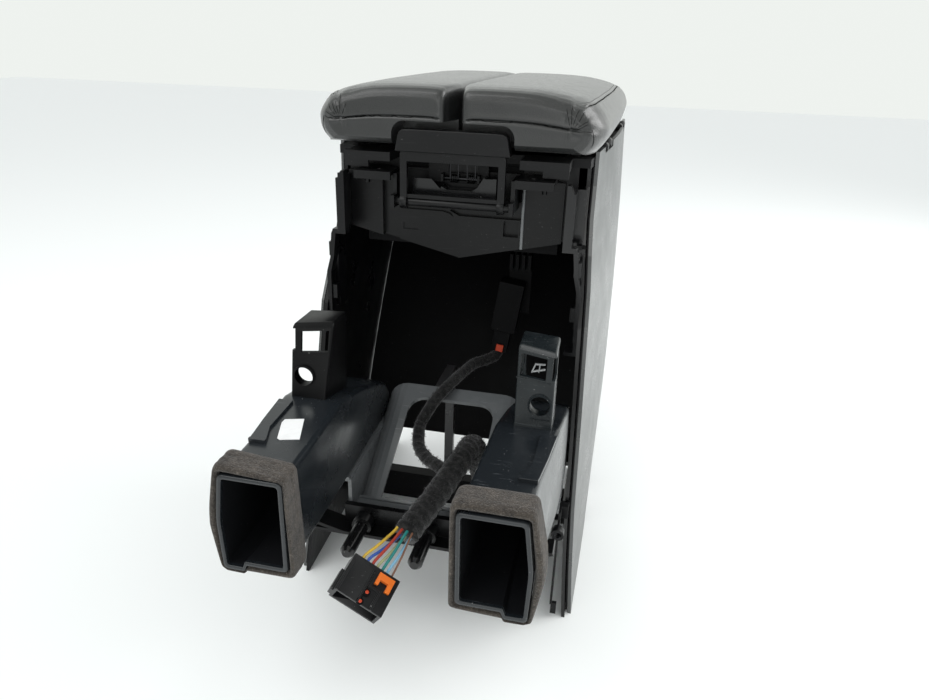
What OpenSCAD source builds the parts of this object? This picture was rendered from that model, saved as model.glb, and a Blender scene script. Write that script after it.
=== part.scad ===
// Rear part of a car's centre console with a two-door padded armrest lid.
// Sizes are millimetres. X runs left to right, Y front to back, Z up from the floor.
// The front of the lids is the datum inside the modules; the whole part is then shifted
// so that the origin is under the middle of its box.

/* [Lids] */
// Length of the padded lids from front to back
lid_length = 380; // [350:5:410]
// Height of the padding above its underside at the crown
lid_crown = 46; // [40:1:50]
// Gap between the two lids at the front face
lid_front_gap = 12; // [9:0.5:14]
// Gap between the two lids along the top
lid_seam_gap = 1.6; // [1.2:0.2:3]
// Diameter of the hinge pins
hinge_pin_d = 3; // [2.4:0.2:3.4]

/* [Release button] */
// Width of the release button
button_width = 91; // [82:1:93]
// Height of the release button
button_height = 17; // [14:0.5:18]
// Diameter of the rod the button frame turns on
pivot_rod_d = 6; // [5:0.2:6.6]

/* [Bin and walls] */
// Depth of the storage bin from its rim
bin_depth = 74; // [60:2:76]
// Wall of the storage bin
bin_wall = 2.5; // [2:0.1:3.2]
// Wall of the outer trim panels
trim_wall = 3; // [2.4:0.1:3.4]
// Wall of the inner carriers
carrier_wall = 3; // [2.4:0.1:3.6]
// Thickness of the front wall
front_wall_t = 3; // [2.4:0.1:4]

/* [Air ducts] */
// Reach of the duct mouths ahead of the lids
duct_reach = 206; // [196:2:214]
// Wall of the ducts
duct_wall = 2.2; // [1.8:0.1:2.6]
// Thickness of the foam around the mouths
gasket_t = 7; // [5:0.5:9]
// Width of the foam along the duct
gasket_depth = 20; // [14:1:24]
// Height of the bracket towers on the ducts
tower_height = 56; // [50:1:62]
// Diameter of the locating hole in each tower
tower_hole_d = 14.6; // [12:0.2:15.4]

/* [Base] */
// Width of the opening in the tray plate
tray_opening_width = 80; // [66:2:88]
// Diameter of the locating pegs
peg_d = 11.6; // [9.6:0.2:12.6]
// Length of the locating pegs
peg_length = 36; // [28:1:42]

/* [Harness] */
// Diameter of the taped main harness
harness_d = 21; // [17:0.5:21]
// Diameter of the taped branch
branch_d = 10.4; // [8:0.2:11]
// Diameter of one wire
wire_d = 2.4; // [1.8:0.1:2.6]
// Width of the connector body
connector_width = 36.6; // [34:0.2:42]

/* [Hidden] */
$fn = 32;
mid_y = (lid_length - duct_reach) / 2;
lid_under = 395;
shell_bottom = 394;
hinge_z = 391.5;
barrel_r = 3;
pin_clear = 0.1;
hinge_front_x = 108.4;
hinge_slope = 0.057;
hinge_tilt = atan(hinge_slope);
hinge_mids = [112, lid_length - 98];
lid_barrel_l = 24;
fixed_barrel_l = 10;
barrel_gap = 0.5;
frame_top = 388;
frame_bottom = 381;
bin_in = 84;
bin_front = 42;
bin_rear = lid_length - 58;
wall_y = 37;
pillar_y = 31;
mouth_y = -duct_reach;
tower_front = -95;
duct_top = 217;
duct_floor = 142;
duct_end = 34;
tower_plate = 2.6;
tower_back = -50;
duct_line = [[tower_front, duct_top], [tower_back, duct_top - 10.7], [-20, duct_top - 21],
  [9, duct_top - 32], [24, duct_top - 41], [duct_end, duct_top - 54]];
tray_front = -84;
tray_slope = 0.533;
tray_t = 3;
bar_y = -88;
bar_top = 119;
trim_rear_top = lid_length - 26;
rear_slope = (trim_rear_top - 107) / 379;
seal_gap = 0.3;
rod_z = 351;
rod_y = 5;
notch_half = 48;
notch_top = 413.5;
notch_depth = 30;
stake_r = 3;

function mix(a, b, t) = a + (b - a) * t;
function flat(a) = [for (r = a) for (p = r) p];

// outline of a side panel in Y for each height
function trim_front(z) = lookup(z, [[0, -40], [195, -5], [258, 8], [310, 37], [365, 52], [395, 52]]);
function trim_rear(z) = z < 16 ? mix(91, 107, z / 16) : mix(107, trim_rear_top, (z - 16) / 379);
// how far out the outer face lies at the front edge and at the rear
function trim_x_front(z) = lookup(z, [[0, 129], [27, 126.5], [95, 122], [157, 120], [195, 118.7],
  [243, 116.8], [274, 115.8], [330, 110.8], [395, 110]]);
function trim_x_rear(z) = lookup(z, [[0, 134.5], [60, 135.5], [140, 136], [240, 134.5], [315, 131.5], [395, 127]]);
function trim_flare(z) = lookup(z, [[200, 220], [340, 300]]);
function trim_x(y, z) = mix(trim_x_front(z), trim_x_rear(z),
  sin(90 * min(1, max(0, (y - trim_front(z)) / (trim_flare(z) - trim_front(z))))));
function rear_face(z) = 107 + (z - 16) * rear_slope - 18;
function hinge_x(y) = hinge_front_x + hinge_slope * (y - 20);
function tray_z(y) = 115 + (y + 60) * tray_slope;

module put() {
  translate([0, -mid_y, 0]) children();
}

module both() {
  children();
  mirror([1, 0, 0]) children();
}

// closed plate between two grids of points
module grid_plate(o, n) {
  r = len(o);
  c = len(o[0]);
  k = r * c;
  quads = concat(
    [for (i = [0:r - 2]) for (j = [0:c - 2]) [i * c + j, (i + 1) * c + j, (i + 1) * c + j + 1, i * c + j + 1]],
    [for (i = [0:r - 2]) for (j = [0:c - 2])
      [k + i * c + j, k + i * c + j + 1, k + (i + 1) * c + j + 1, k + (i + 1) * c + j]],
    [for (j = [0:c - 2]) [j, j + 1, k + j + 1, k + j]],
    [for (j = [0:c - 2]) [(r - 1) * c + j + 1, (r - 1) * c + j, k + (r - 1) * c + j, k + (r - 1) * c + j + 1]],
    [for (i = [0:r - 2]) [(i + 1) * c, i * c, k + i * c, k + (i + 1) * c]],
    [for (i = [0:r - 2])
      [i * c + c - 1, (i + 1) * c + c - 1, k + (i + 1) * c + c - 1, k + i * c + c - 1]]);
  tris = [for (q = quads) each [[q[0], q[1], q[2]], [q[0], q[2], q[3]]]];
  polyhedron(points = concat(flat(o), flat(n)), faces = tris, convexity = 6);
}

// solid through a row of closed rings, each given clockwise seen from the start
module loft(rings) {
  n = len(rings[0]);
  m = len(rings);
  sides = [for (i = [0:m - 2]) for (k = [0:n - 1]) each [
    [i * n + k, (i + 1) * n + k, (i + 1) * n + (k + 1) % n],
    [i * n + k, (i + 1) * n + (k + 1) % n, i * n + (k + 1) % n]]];
  caps = [[for (k = [0:n - 1]) k], [for (k = [n - 1:-1:0]) (m - 1) * n + k]];
  polyhedron(points = flat(rings), faces = concat(sides, caps), convexity = 6);
}

function unit(v) = v / norm(v);
function dir_at(p, i) = unit(p[min(i + 1, len(p) - 1)] - p[max(i - 1, 0)]);
function bend(a, b, c, d, t) = 0.5 * (2 * b + (c - a) * t + (2 * a - 5 * b + 4 * c - d) * t * t
  + (3 * b - a - 3 * c + d) * t * t * t);
function route(p, n) = [for (i = [0:len(p) - 2]) for (k = [0:n - 1])
  bend(p[max(i - 1, 0)], p[i], p[i + 1], p[min(i + 2, len(p) - 1)], k / n), p[len(p) - 1]];

// round cord along a path; ref is a direction no part of the path follows
module cord(path, r, sides, ref) {
  loft([for (i = [0:len(path) - 1])
    let (t = dir_at(path, i), u = unit(cross(cross(t, ref), t)), s = cross(t, u))
    [for (k = [0:sides - 1]) path[i] + r * (cos(360 * k / sides) * u + sin(360 * k / sides) * s)]]);
}

// one half of the padded lid, given for the right side
function pad_in(y) = lookup(y, [[0, lid_front_gap / 2 + 1.5], [4, lid_front_gap / 2], [12, lid_front_gap / 2 - 0.6],
  [24, mix(lid_front_gap / 2, lid_seam_gap / 2, 0.7)], [38, lid_seam_gap / 2], [400, lid_seam_gap / 2]]);
function pad_low(y) = lookup(y, [[0, 400], [3, 396.6], [8, lid_under], [lid_length - 14, lid_under],
  [lid_length - 5, 397.5], [lid_length, 402]]);
function pad_high(y) = lid_under + (lid_crown - 1) * lookup(y, [[0, 0.78], [1.5, 0.87], [4, 0.93],
  [8, 0.96], [16, 0.985], [30, 1], [90, 1.01], [lid_length - 80, 1], [lid_length - 36, 0.95], [lid_length - 14, 0.82],
  [lid_length - 5, 0.66], [lid_length, 0.48]]);
function pad_out(y) = hinge_x(y) + lookup(y, [[0, -9], [3, -3.5], [8, 0.5], [16, 4], [30, 6.6], [90, 6.8],
  [200, 5.6], [lid_length - 50, 0.8], [lid_length - 20, -5.5], [lid_length - 8, -11], [lid_length, -21]]);
function pad_ring(y) =
  let (xi = pad_in(y), xo = pad_out(y), zl = pad_low(y), zh = pad_high(y), h = zh - zl,
    out = min(1, (xo - xi) / 100))
  [for (p = [
    [xi + 1.2, zl], [xi, zl + 0.1 * h], [xi, zl + 0.55 * h], [xi, zh - 0.14 * h], [xi + 1.2, zh - 0.06 * h],
    [xi + 4, zh - 0.015 * h], [xi + 14, zh], [mix(xi, xo, 0.35), zh + 0.4], [mix(xi, xo, 0.62), zh - 0.03 * h],
    [xo - 24 * out, zh - 0.12 * h], [xo - 14 * out, zh - 0.2 * h], [xo - 7 * out, zh - 0.3 * h],
    [xo - 2.6 * out, zh - 0.43 * h], [xo - 0.4 * out, zh - 0.57 * h], [xo, zl + 0.31 * h],
    [xo - 0.9 * out, zl + 0.22 * h], [xo - 2.8 * out, zl + 0.13 * h], [xo - 5.4 * out, zl + 0.06 * h],
    [xo - 8.6 * out, zl]]) [p[0], y, p[1]]];
pad_stations = [0, 1.5, 4, 8, 16, 30, 55, 90, 130, 170, 210, lid_length - 90, lid_length - 50, lid_length - 24,
  lid_length - 10, lid_length - 3, lid_length];

module pad_half() {
  difference() {
    loft([for (y = pad_stations) pad_ring(y)]);
    notch();
    translate([lid_front_gap / 2 + 8, 24, lid_under - 5]) shell_pocket();
  }
}

// rounded opening for the release button across both lids
module notch() {
  translate([-notch_half, -5, lid_under - 8])
    cube([2 * notch_half, notch_depth + 5, notch_top - lid_under - 2]);
  translate([-notch_half + 10, -5, lid_under - 8])
    cube([2 * notch_half - 20, notch_depth + 5, notch_top - lid_under + 8]);
  for (s = [-1, 1]) translate([s * (notch_half - 10), -5, notch_top - 10])
    rotate([-90, 0, 0]) cylinder(r = 10, h = notch_depth + 5, $fn = 48);
}

module shell_pocket() {
  cube([hinge_front_x - 38, lid_length - 60, 9]);
}

// hard underside of one lid with its hinge barrels and catch loop
module shell_half() {
  w = hinge_front_x - 38;
  x0 = lid_front_gap / 2 + 8;
  difference() {
    union() {
      translate([x0 + seal_gap, 24 + seal_gap, shell_bottom])
        cube([w - 2 * seal_gap, lid_length - 60 - 2 * seal_gap, lid_under + 4 - shell_bottom]);
      // stiffening rim under the plate
      for (y = [60, 150, 200, lid_length - 60]) translate([x0 + 6, y, shell_bottom - 2])
        cube([w - 14, 2, 3]);
      // catch loop behind the button
      translate([14, notch_depth + 1.5, 384.5]) cube([14, 3, 12]);
      for (y = hinge_mids) hinge_frame(y) {
        rotate([-90, 0, 0]) translate([0, 0, -lid_barrel_l / 2]) cylinder(r = barrel_r, h = lid_barrel_l);
        translate([78 - hinge_x(y), -lid_barrel_l / 2, 0]) cube([hinge_x(y) - 78, lid_barrel_l, barrel_r]);
      }
    }
    for (y = hinge_mids) hinge_frame(y) rotate([-90, 0, 0]) translate([0, 0, -20])
      cylinder(r = hinge_pin_d / 2 + pin_clear, h = 40);
    translate([17, notch_depth, 386]) cube([8, 6, 5.5]);
    notch();
  }
}

// frame of reference on the hinge line at distance y from the datum
module hinge_frame(y) {
  translate([hinge_x(y), y, hinge_z]) rotate([0, 0, -hinge_tilt]) children();
}

module hinge_brackets_side() {
  reach = lid_barrel_l / 2 + barrel_gap;
  span = reach + fixed_barrel_l;
  difference() {
    union() for (y = hinge_mids) hinge_frame(y) {
      translate([-24, -span, frame_top - hinge_z]) cube([20, 2 * span, 1.6]);
      for (s = [-1, 1]) translate([0, s * (reach + fixed_barrel_l / 2), 0]) {
        rotate([-90, 0, 0]) translate([0, 0, -fixed_barrel_l / 2]) cylinder(r = barrel_r, h = fixed_barrel_l);
        translate([-6, -fixed_barrel_l / 2, frame_top - hinge_z])
          cube([6 + barrel_r, fixed_barrel_l, hinge_z - frame_top]);
      }
    }
    for (y = hinge_mids) hinge_frame(y) rotate([-90, 0, 0]) translate([0, 0, -30])
      cylinder(r = hinge_pin_d / 2 + 0.02, h = 60);
  }
}

module hinge_pins_side() {
  reach = lid_barrel_l / 2 + barrel_gap + fixed_barrel_l;
  for (y = hinge_mids) hinge_frame(y) rotate([-90, 0, 0]) {
    translate([0, 0, -reach]) cylinder(r = hinge_pin_d / 2, h = 2 * reach);
    translate([0, 0, -reach - 1.2]) cylinder(r = hinge_pin_d / 2 + 0.9, h = 1.2);
  }
}

// side panel, carrier and the thin shell between them
trim_rows = [0, 8, 16, 40, 70, 100, 130, 160, 195, 226, 258, 284, 310, 338, 365, 380, 392];
cols = 9;

module side_plate(rows, outset, wall, y_front, y_rear) {
  function py(i, j) = mix(trim_front(rows[i]) + y_front, trim_rear(rows[i]) + y_rear, pow(j / cols, 1.35));
  grid_plate(
    [for (i = [0:len(rows) - 1]) [for (j = [0:cols]) [trim_x(py(i, j), rows[i]) - outset, py(i, j), rows[i]]]],
    [for (i = [0:len(rows) - 1]) [for (j = [0:cols])
      [trim_x(py(i, j), rows[i]) - outset - wall, py(i, j), rows[i]]]]);
}

module hinge_relief(depth) {
  reach = lid_barrel_l / 2 + barrel_gap + fixed_barrel_l + 3;
  for (y = hinge_mids) hinge_frame(y) translate([-16, -reach, -depth]) cube([32, 2 * reach, 20]);
}

stake_spots = [[60, 330], [150, 330], [lid_length - 150, 330], [60, 240], [150, 240], [40, 110], [90, 110], [30, 50]];

module stakes(r, from, to) {
  for (s = stake_spots) translate([trim_x(s[0], s[1]) - to, s[0], s[1]])
    rotate([0, 90, 0]) cylinder(r = r, h = to - from);
}

module trim_side() {
  difference() {
    side_plate(trim_rows, 0, trim_wall, 0, 0);
    hinge_relief(4.6);
  }
  stakes(stake_r, trim_wall - 0.6, trim_wall + 0.5 + carrier_wall + 1.8);
}

mid_rows = [6, 16, 40, 70, 100, 130, 160, 195, 226, 258, 284, 310, 338, 365, 380];
carrier_rows = [0, 16, 40, 70, 100, 130, 160, 195, 226, 258, 284, 310, 338, 365, frame_bottom];

module mid_side() {
  function py(i) = trim_front(mid_rows[i]);
  // narrow dark shell that closes the gap along the front edge
  grid_plate(
    [for (i = [0:len(mid_rows) - 1]) [for (d = [-3.5, 4, 12])
      [trim_x(py(i) + d, mid_rows[i]) - trim_wall - 0.35, py(i) + d, mid_rows[i]]]],
    [for (i = [0:len(mid_rows) - 1]) [for (d = [-3.5, 4, 12])
      [trim_x(py(i) + d, mid_rows[i]) - trim_wall - 1.5, py(i) + d, mid_rows[i]]]]);
}

module carrier_side() {
  outset = trim_wall + 2.2;
  difference() {
    union() {
      side_plate(carrier_rows, outset, carrier_wall, -6, -8);
      // stepped front flange
      translate([0, 14, 0]) rotate([90, 0, 0]) linear_extrude(height = 10)
        polygon([[90, 320], [96, 320], [96.2, 364], [92.4, 372], [90, 372]]);
      translate([0, 30, 0]) rotate([90, 0, 0]) linear_extrude(height = 26)
        polygon([[94, 320], [97, 320], [97, 366], [94, 366]]);
      translate([0, 14, 0]) rotate([90, 0, 0]) linear_extrude(height = 10)
        polygon([[90, 324], [90, 320], [99, 320], [101.4, 299], [104.5, 286], [105, 245], [108, 245],
          [108.2, 286], [104.6, 299], [102.8, 320], [101, 324]]);
      translate([101.5, 27, 318]) cube([2.4, 31, 48]);
      translate([96, 26, 318]) cube([8, 3, 48]);
      translate([103.5, 20, 250]) cube([3.5, 16, 70]);
      translate([101, 10, 306]) cube([3, 12, 16]);
      // clip lugs
      for (z = [262, 300]) translate([100.5, 6, z]) cube([5.5, 7, 12]);
      // short bracket near the tower
      translate([98, 8, 231]) cube([12, 14, 3]);
      translate([105.5, 8, 231]) cube([3, 14, 20]);
      // ledge under the tray
      translate([104, -8, duct_floor - 8]) cube([11, 30, 4]);
      // foot behind the panel
      translate([108, 88, 0]) cube([18, 112, 4]);
      translate([108, 88, 0]) cube([3.5, 112, 30]);
      translate([108, 96, 0]) cube([18, 4, 30]);
    }
    for (s = stake_spots) translate([trim_x(s[0], s[1]) - outset - carrier_wall - 2, s[0], s[1]])
      rotate([0, 90, 0]) cylinder(r = stake_r + 0.2, h = carrier_wall + 4);
    for (y = [130, 180]) translate([118.5, y, -1]) cylinder(r = 3.2, h = 6);
  }
}

module left_lid_pad() {
  color([0.1, 0.1, 0.11]) put() mirror([1, 0, 0]) pad_half();
}

module right_lid_pad() {
  color([0.1, 0.1, 0.11]) put() pad_half();
}

module left_lid_shell() {
  color([0.08, 0.08, 0.08]) put() mirror([1, 0, 0]) shell_half();
}

module right_lid_shell() {
  color([0.08, 0.08, 0.08]) put() shell_half();
}

module left_hinge_pins() {
  color([0.6, 0.6, 0.6]) put() mirror([1, 0, 0]) hinge_pins_side();
}

module right_hinge_pins() {
  color([0.6, 0.6, 0.6]) put() hinge_pins_side();
}

module left_hinge_brackets() {
  color([0.12, 0.12, 0.12]) put() mirror([1, 0, 0]) hinge_brackets_side();
}

module right_hinge_brackets() {
  color([0.12, 0.12, 0.12]) put() hinge_brackets_side();
}

module lid_bumpers() {
  color([0.05, 0.05, 0.05]) put() both() for (y = [52, lid_length - 66])
    translate([bin_in + 7, y, frame_top - 1]) cylinder(r = 4, h = lid_under - frame_top + 0.9);
}

// release button: a shallow cap whose upper corners are rounded
module release_button() {
  half = button_width / 2;
  z0 = 390.5;
  color([0.1, 0.1, 0.1]) put() difference() {
    translate([0, 12, 0]) rotate([90, 0, 0]) linear_extrude(height = 12)
      button_outline(half, z0, button_height);
    translate([0, 13, 0]) rotate([90, 0, 0]) linear_extrude(height = 10.4)
      button_outline(half - 2, z0 - 3, button_height + 1);
  }
}

module button_outline(half, z0, h) {
  polygon([[-half, z0], [-half + 2.2, z0 + h - 5], [-half + 3.2, z0 + h - 2], [-half + 6, z0 + h - 0.4],
    [-half + 10, z0 + h], [half - 10, z0 + h], [half - 6, z0 + h - 0.4], [half - 3.2, z0 + h - 2],
    [half - 2.2, z0 + h - 5], [half, z0]]);
}

// two posts and a cross strip that carry the button, with bores on the rod
module button_bail() {
  x1 = 36.5;
  color([0.12, 0.12, 0.12]) put() difference() {
    union() {
      both() {
        translate([x1, rod_y - 2.5, rod_z]) cube([5.5, 5, 389 - rod_z]);
        translate([x1, rod_y, rod_z]) rotate([0, 90, 0]) cylinder(r = pivot_rod_d / 2 + 2, h = 5.5);
        translate([x1 - 1, 2.6, 386]) cube([4, 6, 12]);
      }
      translate([-x1 - 5, rod_y - 2.5, 383]) cube([2 * x1 + 10, 5, 7.5]);
      translate([-x1 - 1, 2.6, 388]) cube([2 * x1 + 2, 2.4, 8]);
      // lower strip just over the rod
      translate([-x1 - 1, rod_y - 1.5, rod_z + pivot_rod_d / 2 + 0.3]) cube([2 * x1 + 2, 3, 3]);
      // catch noses
      for (x = [-22, 18]) translate([x, rod_y + 2, 385]) cube([4, 17, 2.6]);
    }
    translate([-60, rod_y, rod_z]) rotate([0, 90, 0]) cylinder(r = pivot_rod_d / 2 + 0.08, h = 120);
  }
}

module pivot_rod() {
  color([0.3, 0.3, 0.3]) put() translate([-49.5, rod_y, rod_z]) rotate([0, 90, 0])
    cylinder(r = pivot_rod_d / 2, h = 99);
}

// plate with a scoop under the catch springs
module catch_plate() {
  color([0.14, 0.14, 0.15]) put() {
    translate([0, 20, 0]) rotate([90, 0, 0]) linear_extrude(height = 3)
      polygon([[-35.5, 352.5], [33, 352.5], [33, 371], [24, 370.5], [19, 362], [14, 358.5], [-8, 358.5],
        [-13, 361], [-20, 368], [-35.5, 368]]);
    // curved floor of the scoop
    translate([0, 31, 0]) rotate([90, 0, 0]) linear_extrude(height = 13)
      polygon([[-13, 360.4], [-8, 358], [14, 358], [19.4, 361.6], [24.4, 370.3], [22.4, 371], [17.6, 363.2],
        [13.4, 360], [-7.4, 360], [-12, 362.4]]);
    translate([-35.5, 17, 352.5]) cube([68.5, 17, 2]);
  }
}

module latch_back_plate() {
  color([0.2, 0.2, 0.2]) put() difference() {
    union() {
      translate([-26, 31, 363.5]) cube([50, 3, 18.5]);
      for (x = [-14, 16]) translate([x, 24, 365]) cube([2, 8, 6.4]);
    }
    translate([-9, 29, 371.6]) cube([24, 6, 12]);
    translate([-20, 27, 368]) rotate([0, 90, 0]) cylinder(r = 1.62, h = 60);
  }
}

module spring_pin() {
  color([0.35, 0.35, 0.35]) put() translate([-14.5, 27, 368]) rotate([0, 90, 0])
    cylinder(r = 1.6, h = 33);
}

module coil(x0) {
  r = 3;
  turns = 4;
  path = [for (i = [0:turns * 10]) [x0 + 0.16 * i, 27 - r * cos(36 * i), 368 - r * sin(36 * i)]];
  a = path[len(path) - 1];
  cord(concat([[x0 - 0.3, 24, 385]], [[x0 - 0.15, 24, 374]], path,
    [[a[0] + 0.15, 24, 374]], [[a[0] + 0.3, 24, 385]]), 0.55, 6, [1, 0, 0.02]);
}

module left_latch_spring() {
  color([0.6, 0.6, 0.62]) put() coil(-6);
}

module right_latch_spring() {
  color([0.6, 0.6, 0.62]) put() coil(8);
}

// ring under the lids that the bin hangs from
frame_spots = [36, 52, 80, 120, 160, 210, 270, lid_length - 34];

function frame_edge(y) = trim_x(max(y, 52), frame_top) - trim_wall - 0.5 - (y < 50 ? 2 : 0);

module upper_frame() {
  t = frame_top - frame_bottom;
  color([0.09, 0.09, 0.09]) put() difference() {
    union() {
      translate([0, 0, frame_bottom]) linear_extrude(height = t)
        polygon(concat([for (y = frame_spots) [frame_edge(y), y]],
          [for (i = [7:-1:0]) [-frame_edge(frame_spots[i]), frame_spots[i]]]));
      both() translate([52, 8, frame_bottom]) cube([38, 30, t]);
      both() translate([70, 8, frame_bottom - 5]) cube([20, 3, 8]);
    }
    translate([-bin_in, bin_front, frame_bottom - 1]) cube([2 * bin_in, bin_rear - bin_front, 20]);
    both() for (y = [52, lid_length - 66]) translate([bin_in + 7, y, frame_top - 1])
      cylinder(r = 4.02, h = 5);
  }
}

module storage_bin() {
  o = bin_in + 4;
  h = bin_in - 0.4;
  z0 = frame_bottom - bin_depth;
  w = bin_wall;
  yr = bin_rear - 0.4;
  yb = min(yr, rear_face(z0) - 3);
  color([0.07, 0.07, 0.07]) put() difference() {
    union() {
      translate([-h, 0, 0]) rotate([90, 0, 90]) linear_extrude(height = 2 * h)
        polygon([[bin_front + 0.4, z0], [yb, z0], [yr, frame_bottom - 3], [yr, frame_bottom + 4],
          [bin_front + 0.4, frame_bottom + 4]]);
      translate([-o, bin_front - 1.5, frame_bottom - 3]) cube([2 * o, bin_rear - bin_front + 3, 3]);
    }
    translate([-h + w, 0, 0]) rotate([90, 0, 90]) linear_extrude(height = 2 * (h - w))
      polygon([[bin_front + 0.4 + w, z0 + w], [yb - w, z0 + w], [yr - w, frame_bottom - 3],
        [yr - w, frame_bottom + 9], [bin_front + 0.4 + w, frame_bottom + 9]]);
  }
}

// front wall with its V-shaped lower edge
module front_wall() {
  t = front_wall_t;
  color([0.1, 0.1, 0.1]) put() difference() {
    union() {
      translate([0, wall_y + t, 0]) rotate([90, 0, 0]) linear_extrude(height = t)
        polygon([[-96, 322], [0, 299.7], [96, 322], [96, frame_bottom], [52, frame_bottom], [52, 350],
          [-52, 350], [-52, frame_bottom], [-96, frame_bottom]]);
      // raised left half of the middle panel, with the crease at its edge
      translate([0, wall_y, 0]) rotate([90, 0, 0]) linear_extrude(height = 2.2)
        polygon([[-52, 311.8], [0, 299.7], [0, 328], [-3, 333], [-9, 337], [-15, 338.5], [-52, 338.5]]);
      translate([0, wall_y, 0]) rotate([90, 0, 0]) linear_extrude(height = 4)
        polygon([[0, 299.7], [52, 311.8], [52, 336], [34, 336], [0, 336], [-8, 340], [0, 328]]);
      // pillars
      translate([0, wall_y, 0]) rotate([90, 0, 0]) linear_extrude(height = wall_y - pillar_y)
        polygon([[-95.6, 322], [-66, 315.1], [-66, 369], [-95.6, 369]]);
      translate([0, wall_y, 0]) rotate([90, 0, 0]) linear_extrude(height = wall_y - pillar_y)
        polygon([[55.4, 312.6], [86.5, 319.9], [86.5, 369], [55.4, 369]]);
      // ears for the rod
      both() translate([46.3, 0, rod_z - 5]) cube([3.2, wall_y, 10]);
      both() translate([46.3, 8, rod_z - 5]) cube([3.2, 32, 26]);
      // shelf under the catch
      translate([-46.3, 18, 349]) cube([92.6, 22, 3.5]);
      translate([-26, 34, 350]) cube([50, 4, 31]);
      translate([-49.5, wall_y, 349]) cube([99, t, 24]);
    }
    translate([38, wall_y - 8, 321.5]) cube([12.5, 9, 13]);
    translate([-49, wall_y - 8, 321]) cube([13, 7, 5.5]);
    translate([-60, rod_y, rod_z]) rotate([0, 90, 0]) cylinder(r = pivot_rod_d / 2 + 0.02, h = 120);
  }
}

// rounded vertical strip beside the right pillar
module corner_bead() {
  color([0.3, 0.3, 0.3]) put() translate([53.8, pillar_y + 1.2, 312.4]) cylinder(r = 1.5, h = 55);
}

module stop_bracket() {
  difference() {
    union() {
      translate([49.8, 1, 370.5]) cube([30.2, 29, 3.4]);
      translate([49.8, 1, 367.5]) cube([30.2, 2.6, 4]);
      translate([60, 26, 369]) cube([20, 11, 4.9]);
      translate([72, 12, 363]) cylinder(r = 2, h = 8);
    }
    translate([63, 14, 365]) cylinder(r = 2.2, h = 12);
  }
}

module left_stop_bracket() {
  color([0.13, 0.13, 0.13]) put() mirror([1, 0, 0]) stop_bracket();
}

module right_stop_bracket() {
  color([0.13, 0.13, 0.13]) put() stop_bracket();
}

module left_side_trim() {
  color([0.2, 0.2, 0.21]) put() mirror([1, 0, 0]) trim_side();
}

module right_side_trim() {
  color([0.2, 0.2, 0.21]) put() trim_side();
}

module left_mid_shell() {
  color([0.05, 0.05, 0.05]) put() mirror([1, 0, 0]) mid_side();
}

module right_mid_shell() {
  color([0.05, 0.05, 0.05]) put() mid_side();
}

module left_inner_carrier() {
  color([0.08, 0.08, 0.08]) put() mirror([1, 0, 0]) carrier_side();
}

module right_inner_carrier() {
  color([0.08, 0.08, 0.08]) put() carrier_side();
}

// plain closing panel at the back, open below
module rear_panel() {
  rows = [70, 110, 150, 195, 240, 290, 340, frame_bottom];
  gap = trim_wall + 2.2 + carrier_wall + 0.6;
  color([0.1, 0.1, 0.1]) put() grid_plate(
    [for (z = rows) [for (s = [1, 0, -1]) [s * (trim_x(rear_face(z), z) - gap), rear_face(z) + 4, z]]],
    [for (z = rows) [for (s = [1, 0, -1]) [s * (trim_x(rear_face(z), z) - gap), rear_face(z), z]]]);
}

module rear_cross_member() {
  color([0.07, 0.07, 0.07]) put() difference() {
    translate([-108, 93, 0]) cube([216, 14, 32]);
    translate([-104, 96, -1]) cube([208, 12, 30]);
  }
}

module tray_post() {
  color([0.35, 0.35, 0.35]) put() {
    translate([-21, 86, 29]) cube([9, 7, tray_z(42) - 29]);
    translate([-21, 42, tray_z(42) - tray_t]) cube([9, 51, tray_t]);
    translate([-24, 90, 22]) cube([15, 3, 24]);
  }
}

// tilted tray plate with its large opening
tray_rows = [-66, -30, 10, 42];
tray_cols = [-1, -0.96, -0.9, -0.83, -0.74, -0.4, 0, 0.4, 0.74, 0.83, 0.9, 0.96, 1];

function tray_half(y) = mix(57.2, 66, duct_t(y)) - duct_wall - 0.3;
function tray_drop(s) = lookup(abs(s), [[0.74, 0], [0.83, 1.2], [0.9, 3.6], [0.96, 7], [1, 11]]);

module base_tray() {
  half = tray_opening_width / 2;
  color([0.3, 0.31, 0.31]) put() difference() {
    union() {
      grid_plate(
        [for (y = tray_rows) [for (s = tray_cols) [s * tray_half(y), y, tray_z(y) - tray_drop(s)]]],
        [for (y = tray_rows) [for (s = tray_cols) [s * tray_half(y), y, tray_z(y) - tray_drop(s) - tray_t]]]);
      // trough ahead of the plate
      translate([-63, 0, 0]) rotate([90, 0, 90]) linear_extrude(height = 126)
        polygon([[tray_front, 105], [-64, 108], [-64, tray_z(-66)], [-67, tray_z(-66)], [-67, 110.5],
          [tray_front + 3, 108], [tray_front + 3, 116], [tray_front, 116]]);
      // wings under the ducts
      both() translate([60, tray_front, duct_floor - 4]) cube([50.5, 124, 4]);
      both() translate([0, 0, 104]) linear_extrude(height = duct_floor - 106)
        polygon([[58.3, tray_front], [61.3, tray_front], [65.6, 40], [62.6, 40]]);
    }
    hull() {
      for (x = [-half + 14, half - 14]) translate([x, 16, 60]) cylinder(r = 14, h = 160);
      translate([-half, -60, 60]) cube([2 * half, 4, 160]);
    }
    translate([-half, -64, 60]) cube([2 * half, 8, 160]);
  }
}

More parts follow.
